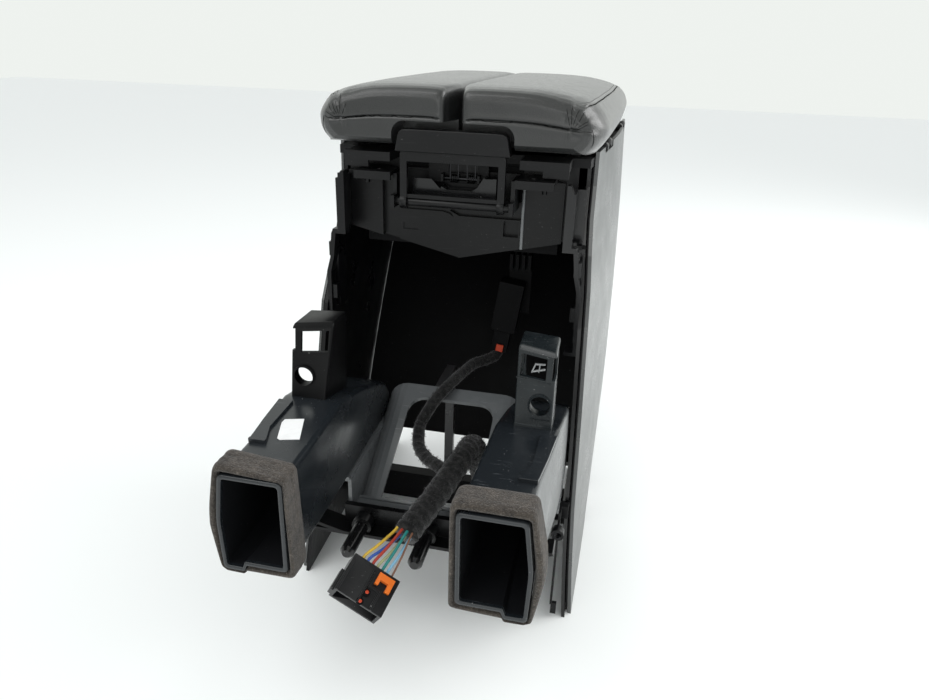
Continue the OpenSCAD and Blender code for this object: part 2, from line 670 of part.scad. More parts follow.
module front_crossbar() {
  color([0.1, 0.1, 0.1]) put() difference() {
    union() {
      translate([-63, bar_y - 1, 99]) cube([126, 5, bar_top - 99]);
      translate([-90, bar_y - 14, 99]) cube([180, 14, 3]);
      both() translate([60, bar_y - 14, 99]) rotate([0, -14, 0]) cube([52, 18, 3]);
      both() translate([88, bar_y - 14, 104]) cube([4, 20, duct_floor - 108]);
      for (x = [-45, 9]) translate([x, bar_y, 107.5]) rotate([90, 0, 0])
        cylinder(r = peg_d / 2 + 2.4, h = 12);
    }
    for (x = [-45, 9]) translate([x, bar_y - 1, 107.5]) rotate([90, 0, 0])
      cylinder(r = peg_d / 2 + 0.83, h = 20, $fn = 40);
  }
}

module peg(x) {
  translate([x, bar_y - 1, 107.5]) rotate([90, 0, 0]) {
    // root inside the boss
    cylinder(r = peg_d / 2 + 0.8, h = 11, $fn = 40);
    cylinder(r = peg_d / 2, h = peg_length + 6, $fn = 40);
    translate([0, 0, peg_length + 6]) cylinder(r1 = peg_d / 2, r2 = peg_d / 2 - 2.4, h = 3, $fn = 40);
  }
}

module left_peg() {
  color([0.06, 0.06, 0.06]) put() peg(-45);
}

module right_peg() {
  color([0.06, 0.06, 0.06]) put() peg(9);
}

// outline of the right duct at distance y, pushed out by g from its inside
flap_y = mouth_y + 43;
flare_y = mix(flap_y, tower_front, 0.6);
// outer edge of the duct at its top, middle height and bottom
duct_out_top = [[mouth_y, 99], [flap_y, 99.6], [flare_y, 104.2], [tower_front, 106.4], [tower_front + 25, 107.8],
  [tower_back, 108.3], [-20, 108.2], [9, 107.8], [duct_end, 107]];
duct_out_mid = [[mouth_y, 103.7], [flap_y, 104.4], [flare_y, 107.2], [tower_front, 108.8], [tower_front + 25, 109.6],
  [tower_back, 109.8], [-20, 109.4], [9, 109], [duct_end, 108.2]];
duct_out_low = [[mouth_y, 102.2], [flap_y, 103.2], [flare_y, 106.4], [tower_front, 108.8], [tower_front + 25, 110],
  [tower_back, 110.2], [-20, 109.8], [9, 109.4], [duct_end, 108.4]];
function duct_t(y) = min(1, max(0, (y + duct_reach) / (duct_reach + duct_end)));
function duct_ring(y, g) =
  let (t = duct_t(y), f = min(1, max(0, (y + duct_reach) / (duct_reach - 96))),
    zt = lookup(y, duct_line) - duct_wall + g, zi = mix(149.7, duct_floor + duct_wall + 1.2, f) - g,
    zo = mix(144.5, duct_floor + duct_wall, f) - g)
  [for (p = [
    [mix(57.9, 66.6, t) - g, zi], [mix(57.2, 66, t) - g, zt],
    [lookup(y, duct_out_top) - 0.9 * (duct_wall - g), zt],
    [lookup(y, duct_out_mid) - duct_wall + g, mix(zo, zt, 0.51)],
    [lookup(y, duct_out_low) - 0.9 * (duct_wall - g), zo],
    [88 - 0.4 * g, zo], [86 - 0.4 * g, zi]]) [p[0], y, p[1]]];

module duct_side() {
  near = [mouth_y + 26, flap_y, flare_y, tower_front, tower_front + 25, tower_back, -20, 9, 24];
  difference() {
    loft([for (y = concat([mouth_y], near, [duct_end])) duct_ring(y, duct_wall)]);
    loft([for (y = concat([mouth_y - 1], near, [duct_end + 1])) duct_ring(y, 0)]);
    // split between the two halves of the mouth
    translate([0, 0, duct_floor - 4]) linear_extrude(height = 14)
      polygon([[86.4, mouth_y - 1], [88.8, mouth_y - 1], [86, mouth_y + 34], [85, mouth_y + 34]]);
    translate([0, 0, duct_top - 1]) linear_extrude(height = 3)
      polygon([[86.2, mouth_y - 1], [87.4, mouth_y - 1], [87, flap_y], [85.8, flap_y]]);
  }
  // raised flap along the outer upper edge
  translate([0, 0, duct_top]) linear_extrude(height = 2)
    polygon([[86.5, flap_y], [98.8, flap_y], [103.4, flare_y], [105.2, tower_front - 10], [93.6, tower_front - 10],
      [92.4, flap_y + 18]]);
  translate([86.5, flap_y - 2, duct_top]) cube([12.3, 2.5, 2.8]);
}

module left_duct() {
  color([0.09, 0.1, 0.12]) put() mirror([1, 0, 0]) duct_side();
}

module right_duct() {
  color([0.09, 0.1, 0.12]) put() duct_side();
}

module gasket_side() {
  y0 = mouth_y + 3;
  difference() {
    loft([for (y = [y0, y0 + 2, y0 + gasket_depth - 2, y0 + gasket_depth])
      gasket_ring(y, gasket_t - (y < y0 + 1 || y > y0 + gasket_depth - 1 ? 1.6 : 0))]);
    loft([for (y = [y0 - 1, y0 + gasket_depth + 1]) duct_ring(y, duct_wall + 0.25)]);
  }
}

// duct outline pushed out by e with softened corners, thinner below
function gasket_ring(y, e) = let (d = duct_ring(y, duct_wall), c = 5, b = 0.45 * e) [
  d[0] + [-e, 0, c - b], d[1] + [-e, 0, e - c], d[1] + [c - e, 0, e], d[2] + [e - c, 0, e], d[2] + [e, 0, e - c],
  d[3] + [e, 0, 0], d[4] + [e, 0, c - b], d[4] + [e - c, 0, -b], d[5] + [-2, 0, -b], d[0] + [c - e, 0, -b]];

module left_foam_gasket() {
  color([0.3, 0.27, 0.24]) put() mirror([1, 0, 0]) gasket_side();
}

module right_foam_gasket() {
  color([0.3, 0.27, 0.24]) put() gasket_side();
}

function tower_foot(y) = lookup(y, duct_line);

// bracket tower with a square window above a round hole
// front face leans back, more at its inner side
module tower_block(top) {
  base = tower_foot(tower_back);
  loft([
    [[72.5, tower_back, base], [72.5, tower_front, duct_top], [100, tower_front, duct_top],
      [100, tower_back, base]],
    [[70.5, tower_back, top - 4], [70.5, tower_front + 17.6, top - 4], [99, tower_front + 7.4, top - 4],
      [98.5, tower_back - 5, top - 4]],
    [[70.5, tower_back, top - 1], [70.5, tower_front + 19.6, top - 1], [99, tower_front + 9.2, top - 1],
      [98.5, tower_back - 5, top - 1]],
    [[70.5, tower_back, top], [70.5, tower_front + 22.4, top], [99, tower_front + 12, top],
      [98.5, tower_back - 5, top]]]);
}

module tower_side() {
  top = duct_top + tower_height;
  w = tower_plate;
  side = 1.6;
  base = tower_foot(tower_back);
  hole_z = duct_top + 16.5;
  difference() {
    union() {
      difference() {
        tower_block(top);
        loft([
          [[72.5 + w, 0, base - 9], [72.5 + w, tower_front + w - 0.5, duct_top - 3],
            [100 - side, tower_front + w - 0.5, duct_top - 3], [100 - side, 0, base - 9]],
          [[70.5 + w, 0, top - w], [70.5 + w, tower_front + w + 18.6, top - w],
            [99 - side, tower_front + w + 8.6, top - w], [98.5 - side, 0, top - w]]]);
        translate([73.2, tower_front - 5, duct_top + 34.8]) cube([19.3, 40, 15.6]);
        // outer side is open behind a short return
        translate([94, tower_front + 24, duct_top - 20]) cube([12, 60, tower_height + 20 - w]);
        // step in the outer edge
        translate([96.6, tower_front - 5, duct_top + 36]) cube([6, 24, tower_height - 39]);
      }
      // collar behind the locating hole
      intersection() {
        tower_block(top);
        translate([90, tower_front, hole_z]) rotate([-90, 0, 0]) cylinder(r = tower_hole_d / 2 + 1.5, h = 10);
      }
    }
    translate([90, tower_front - 1, hole_z]) rotate([-90, 0, 0])
      cylinder(r = tower_hole_d / 2, h = 20, $fn = 48);
  }
}

module left_tower() {
  color([0.09, 0.09, 0.1]) put() mirror([1, 0, 0]) tower_side();
}

module right_tower() {
  color([0.09, 0.09, 0.1]) put() tower_side();
}

module label_sticker() {
  color([0.9, 0.9, 0.9]) put() translate([-78.2, (mouth_y + tower_front) / 2 + 8.1, duct_top])
    rotate([0, 0, 17.7]) linear_extrude(height = 0.4)
    polygon([[-5.6, -14.2], [7.7, -14.2], [7.7, 14.2], [-5.9, 14.2], [-7.6, 9.8], [-7.6, -12]]);
}

module socket_bracket() {
  z1 = frame_bottom - bin_depth;
  color([0.08, 0.08, 0.08]) put() {
    translate([30, 96, z1 - 3]) cube([28, 21, 3]);
    translate([34, 114, 225]) cube([22, 3, z1 - 226]);
    for (x = [35, 40.8, 46.6, 52.4]) translate([x, 104, 271]) cube([3, 11, 16]);
  }
}

module socket_place() {
  translate([39.7, 105, 261.2]) rotate([0, 8, 0]) children();
}

module socket_block() {
  color([0.1, 0.1, 0.1]) put() socket_place() translate([-12, -9, -52]) cube([24, 18, 51]);
}

module branch_plug() {
  color([0.07, 0.07, 0.07]) put() socket_place() translate([-8, -7, -74]) cube([16, 13, 22]);
}

module branch_plug_lock() {
  color([0.85, 0.22, 0.06]) put() socket_place() translate([-3, -9, -73]) cube([7, 2, 7]);
}

main_points = [[26, 80, 34], [26, 66, 50], [26.5, 46, 76], [27.5, 22, 106], [28, 0, 132], [28.6, -20, 148],
  [27, -42, 152.5], [20, -70, 147.5], [12.3, -106.8, 143], [4, -137.5, 139.7]];
branch_points = [[29.4, 104, 188.2], [26.4, 98.5, 182.6], [18, 90, 180.6], [8.5, 78, 180.4], [2, 60, 178.6],
  [-5.5, 36, 176], [-13.5, 18, 169], [-20, 0, 159], [-21.5, -10, 153], [-17, -28, 146], [-6, -44, 145], [8, -58, 147.5], [20, -70, 147.5]];

module harness_main() {
  color([0.06, 0.06, 0.06]) put() cord(route(main_points, 2), harness_d / 2, 12, [1, 0, 0]);
}

module harness_branch() {
  color([0.06, 0.06, 0.06]) put() cord(route(branch_points, 2), branch_d / 2, 10, [0.2, 0.1, 1]);
}

// ring round the start of the harness on an arm from the cross member
module harness_clamp() {
  color([0.08, 0.08, 0.08]) put() difference() {
    union() {
      translate([26, 73, 42]) rotate([41.2, 0, 0]) cylinder(r = harness_d / 2 + 2.6, h = 10, center = true);
      for (x = [26 - harness_d / 2 - 3.1, 26 + harness_d / 2 + 0.5]) translate([x, 66, 22]) cube([2.6, 27, 20]);
    }
    translate([26, 73, 42]) rotate([41.2, 0, 0]) cylinder(r = harness_d / 2 + 0.1, h = 60, center = true);
  }
}

// place of the connector: top face centre, rolled and pitched
module at_connector() {
  translate([-7.4, -187.3, 132.7]) rotate([22, 30, 0]) children();
}

function wire_path(i) = let (a = -7.2 + 2.4 * i, s = [4 + a * 0.95, -135.5, 139.7 + (i % 2 == 0 ? 2.8 : -2.8)],
  e = [-16.9 + 3.38 * i, -173.1, 139 - 1.97 * i])
  route([s, s + [-1.6, -5, -1], mix(s, e, 0.55) + [0.4, -1, 1.2], e + [0.9, 4.6, 1.6], e + [-0.6, -2.8, -1]], 1);

module wires() {
  color([0.5, 0.45, 0.2]) put() for (i = [0:6]) cord(wire_path(i), wire_d / 2, 8, [1, 0.1, 0]);
}

module connector_body() {
  w = connector_width;
  color([0.05, 0.05, 0.05]) put() at_connector() difference() {
    union() {
      translate([-w / 2, -14.1, -17]) cube([w, 28.2, 17]);
      // ledge and ribs of the shroud
      translate([-w / 2 - 2.3, -14.1, -13.2]) cube([3, 16, 8.5]);
      for (x = [-w / 2 + 1, -1.5, 9]) translate([x, -14.1, -0.5]) cube([1.2, x > 5 ? 17 : 24.5, 1.6]);
    }
    translate([-w / 2 + 2.3, -15, -14.7]) cube([w - 4.6, 13.1, 12.4]);
    translate([0.2, -13.1, -1.2]) cube([8, 12.2, 4]);
    translate([2.8, 0.9, -2]) cube([12.6, 11.3, 4]);
  }
}

module connector_lock() {
  color([0.9, 0.4, 0.05]) put() at_connector() {
    translate([3, 7.1, -2]) cube([12.2, 4.7, 3.2]);
    translate([3, 3.2, -2]) cube([2.8, 4.7, 3]);
    translate([11.8, 1.3, -2]) cube([3.4, 6.6, 3.4]);
  }
}

// ring clip low on the right carrier, with the strip that hangs from it
module side_clip() {
  color([0.07, 0.07, 0.07]) put() {
    translate([110.4, -46, 94]) rotate([90, 0, 0]) difference() {
      cylinder(r = 5.4, h = 8);
      translate([0, 0, -1]) cylinder(r = 3.4, h = 10);
    }
    translate([109.4, -46, 99]) cube([2, 14, 12]);
    translate([109.4, -48, 14]) cube([2, 3, 75]);
    translate([110.4, -48, 4]) cube([5, 3, 12]);
    translate([109.4, -36, 99]) cube([7.6, 7.6, 12]);
  }
}

module clip_spring() {
  path = [for (i = [0:40]) [110.4 + 2.6 * cos(36 * i), -45 - 0.24 * i, 94 + 2.6 * sin(36 * i)]];
  color([0.7, 0.7, 0.72]) put() cord(path, 0.5, 6, [0.1, 1, 0]);
}

left_lid_pad();
right_lid_pad();
left_lid_shell();
right_lid_shell();
left_hinge_pins();
right_hinge_pins();
left_hinge_brackets();
right_hinge_brackets();
lid_bumpers();
release_button();
button_bail();
pivot_rod();
catch_plate();
latch_back_plate();
left_latch_spring();
right_latch_spring();
spring_pin();
upper_frame();
storage_bin();
front_wall();
corner_bead();
left_stop_bracket();
right_stop_bracket();
left_side_trim();
right_side_trim();
left_mid_shell();
right_mid_shell();
left_inner_carrier();
right_inner_carrier();
rear_panel();
rear_cross_member();
tray_post();
base_tray();
front_crossbar();
left_peg();
right_peg();
left_duct();
right_duct();
left_foam_gasket();
right_foam_gasket();
left_tower();
right_tower();
label_sticker();
socket_bracket();
socket_block();
branch_plug();
branch_plug_lock();
harness_main();
harness_branch();
harness_clamp();
wires();
connector_body();
connector_lock();
side_clip();
clip_spring();
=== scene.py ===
import math
import random

import bmesh
import bpy
from mathutils import Matrix, Vector, noise
from mathutils.bvhtree import BVHTree


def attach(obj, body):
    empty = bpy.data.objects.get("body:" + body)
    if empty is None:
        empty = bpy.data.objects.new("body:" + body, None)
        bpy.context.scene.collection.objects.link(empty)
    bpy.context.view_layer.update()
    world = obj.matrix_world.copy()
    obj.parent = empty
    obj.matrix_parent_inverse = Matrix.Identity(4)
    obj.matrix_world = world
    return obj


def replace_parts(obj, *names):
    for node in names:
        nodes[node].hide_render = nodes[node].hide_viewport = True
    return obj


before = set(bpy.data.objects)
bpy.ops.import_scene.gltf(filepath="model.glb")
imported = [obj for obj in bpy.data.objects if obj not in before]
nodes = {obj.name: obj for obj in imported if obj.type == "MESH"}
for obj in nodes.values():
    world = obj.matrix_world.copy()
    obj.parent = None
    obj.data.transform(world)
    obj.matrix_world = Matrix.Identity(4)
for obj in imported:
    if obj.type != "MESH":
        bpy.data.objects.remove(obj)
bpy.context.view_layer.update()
scene = bpy.context.scene

mm = 0.001
# the lids' front face is the zero of every length below, this far ahead of the frame's own zero
frontShift = 87.0


def place(x, y, z):
    return Vector((x * mm, (y - frontShift) * mm, z * mm))


def lookUp(value, table, column=1):
    # straight lines between the rows, level beyond the ends
    if value <= table[0][0]:
        return table[0][column]
    for low, high in zip(table, table[1:]):
        if value <= high[0]:
            return low[column] + (high[column] - low[column]) * (value - low[0]) / (high[0] - low[0])
    return table[-1][column]


def blendTo(a, b, t):
    return a + (b - a) * t


def ease(t):
    t = min(1.0, max(0.0, t))
    return t * t * (3 - 2 * t)


def circleAngles(count):
    return [math.radians(360 / count * k) for k in range(count)]


def rectangle(x0, x1, y0, y1):
    return [(x0, y0), (x1, y0), (x1, y1), (x0, y1)]


# shader helpers

def addNode(tree, kind, links=None, **settings):
    made = tree.nodes.new(kind)
    for key, value in settings.items():
        setattr(made, key, value)
    for key, value in (links or {}).items():
        if isinstance(value, bpy.types.NodeSocket):
            tree.links.new(value, made.inputs[key])
        else:
            made.inputs[key].default_value = value
    return made


def newMaterial(name, colour, roughness, **uniform):
    material = bpy.data.materials.new(name)
    material.use_nodes = True
    shader = material.node_tree.nodes["Principled BSDF"]
    shader.inputs["Base Color"].default_value = (*colour, 1)
    shader.inputs["Roughness"].default_value = roughness
    for key, value in uniform.items():
        shader.inputs[key.replace("_", " ")].default_value = value
    return material, material.node_tree, shader


def connect(tree, shader, **fields):
    for key, value in fields.items():
        tree.links.new(value, shader.inputs[key.replace("_", " ")])


# camera, lamps and floor

cameraSetup = {"x": 125.4, "y": -536.7, "z": 469.8, "yaw": 11.61, "pitch": 23.71, "roll": 1.84,
               "lens": 27.2, "clipStart": 0.01}


def makeCamera(setup):
    turn = Matrix.Translation(place(setup["x"], setup["y"], setup["z"]))
    for degrees, axis in ((setup["yaw"], "Z"), (90 - setup["pitch"], "X"), (setup["roll"], "Z")):
        turn = turn @ Matrix.Rotation(math.radians(degrees), 4, axis)
    data = bpy.data.cameras.new("photoCamera")
    data.lens = setup["lens"]
    data.clip_start = setup["clipStart"]
    camera = bpy.data.objects.new("photoCamera", data)
    scene.collection.objects.link(camera)
    camera.matrix_world = turn
    scene.camera = camera


makeCamera(cameraSetup)
scene.view_settings.view_transform = "Standard"

studio = {
    "worldStrength": 0.93,
    "worldColour": (0.96, 0.98, 1.0, 1),
    "backdropColour": (0.86, 0.89, 0.86, 1),  # what the camera and glossy things see
    "floorColour": (0.9, 0.92, 0.9),
    "floorRoughness": 0.55,
    "floorSpecular": 0.2,
    "floorHalf": 6.0,  # metres
    "lamps": [  # name, place, aim, size, power
        ("keyLamp", (-700, -700, 1600), (0, 60, 250), 1100, 9),
        ("windowLamp", (1500, 600, 1000), (0, 60, 250), 1300, 22),
        ("frontLamp", (200, -1500, 700), (0, 0, 200), 900, 3),
    ],
}


def makeRoom(setup):
    world = bpy.data.worlds.new("paleRoom")
    scene.world = world
    world.use_nodes = True
    tree = world.node_tree
    tree.nodes.clear()
    rays = addNode(tree, "ShaderNodeLightPath").outputs
    seen = rays["Is Camera Ray"]
    for ray in ("Is Glossy Ray", "Is Transmission Ray"):
        seen = addNode(tree, "ShaderNodeMath", {0: seen, 1: rays[ray]}, operation="MAXIMUM").outputs[0]
    soft = addNode(tree, "ShaderNodeBackground",
                   {"Color": setup["worldColour"], "Strength": setup["worldStrength"]})
    white = addNode(tree, "ShaderNodeBackground", {"Color": setup["backdropColour"], "Strength": 1.0})
    mixed = addNode(tree, "ShaderNodeMixShader", {0: seen, 1: soft.outputs[0], 2: white.outputs[0]})
    addNode(tree, "ShaderNodeOutputWorld", {"Surface": mixed.outputs[0]})


def makeFloor(setup):
    mesh = bpy.data.meshes.new("paleFloor")
    half = setup["floorHalf"]
    mesh.from_pydata([(x, y, 0) for x, y in rectangle(-half, half, -half, half)], [], [(0, 1, 2, 3)])
    floor = bpy.data.objects.new("paleFloor", mesh)
    scene.collection.objects.link(floor)
    paint, _, _ = newMaterial("paleFloorPaint", setup["floorColour"], setup["floorRoughness"],
                              Specular_IOR_Level=setup["floorSpecular"])
    mesh.materials.append(paint)


def makeLamps(setup):
    for name, spot, aim, size, power in setup["lamps"]:
        data = bpy.data.lights.new(name, "AREA")
        data.size = size * mm
        data.energy = power
        lamp = bpy.data.objects.new(name, data)
        scene.collection.objects.link(lamp)
        lamp.location = place(*spot)
        lamp.rotation_euler = (place(*aim) - place(*spot)).to_track_quat("-Z", "Y").to_euler()


makeRoom(studio)
makeFloor(studio)
makeLamps(studio)
print("camera and room are set")


# materials

def objectCoords(tree, stretch=(1, 1, 1)):
    coords = addNode(tree, "ShaderNodeTexCoord")
    mapping = addNode(tree, "ShaderNodeMapping", {"Vector": coords.outputs["Object"], "Scale": stretch})
    return mapping.outputs[0]


def noiseField(tree, coords, scale, detail=4, rough=0.55, output=0):
    return addNode(tree, "ShaderNodeTexNoise", {"Vector": coords, "Scale": scale, "Detail": detail,
                                                "Roughness": rough}).outputs[output]


def ramp(tree, source, low, high, outLow=0.0, outHigh=1.0):
    return addNode(tree, "ShaderNodeMapRange", {"Value": source, "From Min": low, "From Max": high,
                                                "To Min": outLow, "To Max": outHigh}).outputs[0]


def tint(tree, body, field, low, high, colour, most=1.0, least=0.0):
    # the colour comes over the body where the field is high
    paints = {n: value if isinstance(value, bpy.types.NodeSocket) else (*value, 1)
              for n, value in ((6, body), (7, colour))}
    share = ramp(tree, field, low, high, least, most)
    return addNode(tree, "ShaderNodeMix", {0: share, **paints}, data_type="RGBA").outputs[2]


def scaled(colour, share):
    return tuple(c * share for c in colour)


def bumps(tree, shader, layers):
    # layers are (height, distance in mm)
    before = None
    for height, depth in layers:
        made = addNode(tree, "ShaderNodeBump", {"Height": height, "Distance": depth * mm, "Strength": 1.0})
        if before is not None:
            tree.links.new(before, made.inputs["Normal"])
        before = made.outputs[0]
    connect(tree, shader, Normal=before)


plasticLook = {
    "patchScale": 22, "patchDepth": 0.12, "rubBand": (0.5, 0.85), "rubMost": 0.55, "glossBand": (0.25, 0.8),
    "lintScale": 420, "lintBand": (0.7, 0.78), "lintColour": (0.32, 0.32, 0.31),
    "streakScale": 6, "streakStretch": (9, 60, 200), "streakBand": (0.62, 0.8),
}


def plastic(name, colour, worn, roughness, grain=1500, depth=0.03, spread=0.08, dust=0.5, scuffs=0.35,
            specular=0.5):
    # fine texture, patches of handling gloss, lint and pale rubs
    look = plasticLook
    material, tree, shader = newMaterial(name, colour, roughness, Specular_IOR_Level=specular)
    coords = objectCoords(tree)
    patches = noiseField(tree, coords, look["patchScale"], 5, 0.6)
    fine = noiseField(tree, coords, grain, 3, 0.6)
    lint = noiseField(tree, coords, look["lintScale"], 2, 0.7)
    streaks = noiseField(tree, objectCoords(tree, look["streakStretch"]), look["streakScale"], 4, 0.65)
    streakColour = tuple(min(1, 0.06 + 1.6 * c) for c in worn)
    body = tint(tree, colour, patches, *look["rubBand"], worn, look["rubMost"])
    body = tint(tree, body, streaks, *look["streakBand"], streakColour, scuffs)
    body = tint(tree, body, lint, *look["lintBand"], look["lintColour"], dust)
    gloss = ramp(tree, patches, *look["glossBand"], roughness - spread, roughness + spread)
    connect(tree, shader, Base_Color=body, Roughness=gloss)
    bumps(tree, shader, [(patches, look["patchDepth"]), (fine, depth)])
    return material


leatherLook = {
    "pebbleScale": 620, "pebbleEdge": 0.18, "pebbleDepth": 0.09, "wobbleScale": 260, "wobble": 0.0011,
    "creaseScale": 150, "creaseDepth": 0.22, "patchScale": 14, "valleyShade": 0.35, "glossSpread": 0.06,
    "shader": {"Sheen_Weight": 0.03, "Sheen_Roughness": 0.5, "Specular_IOR_Level": 0.38, "Coat_Weight": 0.62,
               "Coat_Roughness": 0.24},
}


def leatherFinish(name, colour, worn, roughness):
    # pebbled hide: cells with soft valleys, stretched patches and a faint sheen
    look = leatherLook
    material, tree, shader = newMaterial(name, colour, roughness, **look["shader"])
    coords = objectCoords(tree)
    sway = noiseField(tree, coords, look["wobbleScale"], 3, 0.5, 1)
    shift = addNode(tree, "ShaderNodeVectorMath", {0: sway, "Scale": look["wobble"]}, operation="SCALE")
    moved = addNode(tree, "ShaderNodeVectorMath", {0: coords, 1: shift.outputs[0]}, operation="ADD")
    cells = addNode(tree, "ShaderNodeTexVoronoi", {"Vector": moved.outputs[0], "Scale": look["pebbleScale"]},
                    feature="DISTANCE_TO_EDGE")
    pebble = ramp(tree, cells.outputs["Distance"], 0.0, look["pebbleEdge"])
    creases = noiseField(tree, coords, look["creaseScale"], 5, 0.65)
    body = tint(tree, colour, noiseField(tree, coords, look["patchScale"]), 0.35, 0.75, worn)
    body = tint(tree, body, pebble, 0.0, 0.5, scaled(colour, look["valleyShade"]), 0.0, 0.45)
    spread = look["glossSpread"]
    gloss = ramp(tree, creases, 0.3, 0.75, roughness + spread, roughness - spread)
    connect(tree, shader, Base_Color=body, Roughness=gloss)
    bumps(tree, shader, [(creases, look["creaseDepth"]), (pebble, look["pebbleDepth"])])
    return material


foamLook = {
    "cellScale": 900, "poreDepth": 0.4, "lumpScale": 90, "lumpDepth": 1.3, "dustScale": 420,
    "shader": {"Specular_IOR_Level": 0.12, "Sheen_Weight": 0.16, "Sheen_Roughness": 0.6},
}


def foamFinish(name, colour, dark, pale):
    # open cells with broken walls and dust on the high places; painted shade darkens the low places of the
    # lumps
    look = foamLook
    material, tree, shader = newMaterial(name, colour, 0.95, **look["shader"])
    coords = objectCoords(tree)
    cells = addNode(tree, "ShaderNodeTexVoronoi", {"Vector": coords, "Scale": look["cellScale"]})
    pore = ramp(tree, cells.outputs["Distance"], 0.15, 0.6)
    lumps = noiseField(tree, coords, look["lumpScale"], 6, 0.7)
    # painted shade: the dark colour fills the low places of the lumps that the bump sinks
    body = tint(tree, dark, lumps, 0.3, 0.7, colour)
    body = tint(tree, body, noiseField(tree, coords, look["dustScale"], 4, 0.75), 0.55, 0.78, pale, 0.4)
    body = tint(tree, body, pore, 0.5, 1.0, scaled(dark, 0.4), 0.4)
    connect(tree, shader, Base_Color=body)
    bumps(tree, shader, [(lumps, look["lumpDepth"]), (pore, look["poreDepth"])])
    return material


fleeceLook = {
    "fibreScale": 1300, "fibreDepth": 0.3, "clumpScale": 300, "clumpDepth": 0.6,
    "shader": {"Specular_IOR_Level": 0.2, "Sheen_Weight": 0.35, "Sheen_Roughness": 0.4},
}


def fleeceFinish(name, colour, pale):
    # fuzzy tape: short fibres and raised clumps with painted highlights
    look = fleeceLook
    material, tree, shader = newMaterial(name, colour, 0.9, **look["shader"])
    coords = objectCoords(tree)
    fibre = noiseField(tree, coords, look["fibreScale"], 5, 0.8)
    clumps = noiseField(tree, coords, look["clumpScale"], 5, 0.7)
    # painted highlights: lighter on the raised clumps and, stronger, on the fibres
    body = tint(tree, colour, clumps, 0.45, 0.75, pale)
    body = tint(tree, body, fibre, 0.62, 0.75, scaled(pale, 2.2), 0.5)
    connect(tree, shader, Base_Color=body)
    bumps(tree, shader, [(clumps, look["clumpDepth"]), (fibre, look["fibreDepth"])])
    return material


def wireFinish(name, colour):
    # smooth insulation with soiled patches
    material, tree, shader = newMaterial(name, colour, 0.38)
    coords = objectCoords(tree)
    soil = noiseField(tree, coords, 260, 4, 0.65)
    connect(tree, shader, Base_Color=tint(tree, colour, soil, 0.45, 0.8, scaled(colour, 0.45), 0.4))
    bumps(tree, shader, [(noiseField(tree, coords, 500, 3), 0.05)])
    return material


def metalFinish(name, colour, roughness):
    # drawn wire with fine lines along it
    material, tree, shader = newMaterial(name, colour, roughness, Metallic=1.0)
    drawn = noiseField(tree, objectCoords(tree, (1, 1, 12)), 700, 3, 0.6)
    body = tint(tree, scaled(colour, 0.7), drawn, 0.35, 0.7, colour)
    gloss = ramp(tree, drawn, 0.3, 0.7, roughness - 0.08, roughness + 0.1)
    connect(tree, shader, Base_Color=body, Roughness=gloss)
    bumps(tree, shader, [(drawn, 0.02)])
    return material


def paperFinish(name, colour, soiled):
    material, tree, shader = newMaterial(name, colour, 0.7)
    coords = objectCoords(tree)
    fibre = noiseField(tree, coords, 700, 5, 0.7)
    body = tint(tree, colour, noiseField(tree, coords, 110), 0.5, 0.8, soiled, 0.35)
    connect(tree, shader, Base_Color=body)
    bumps(tree, shader, [(noiseField(tree, coords, 60, 2), 0.3), (fibre, 0.02)])
    return material


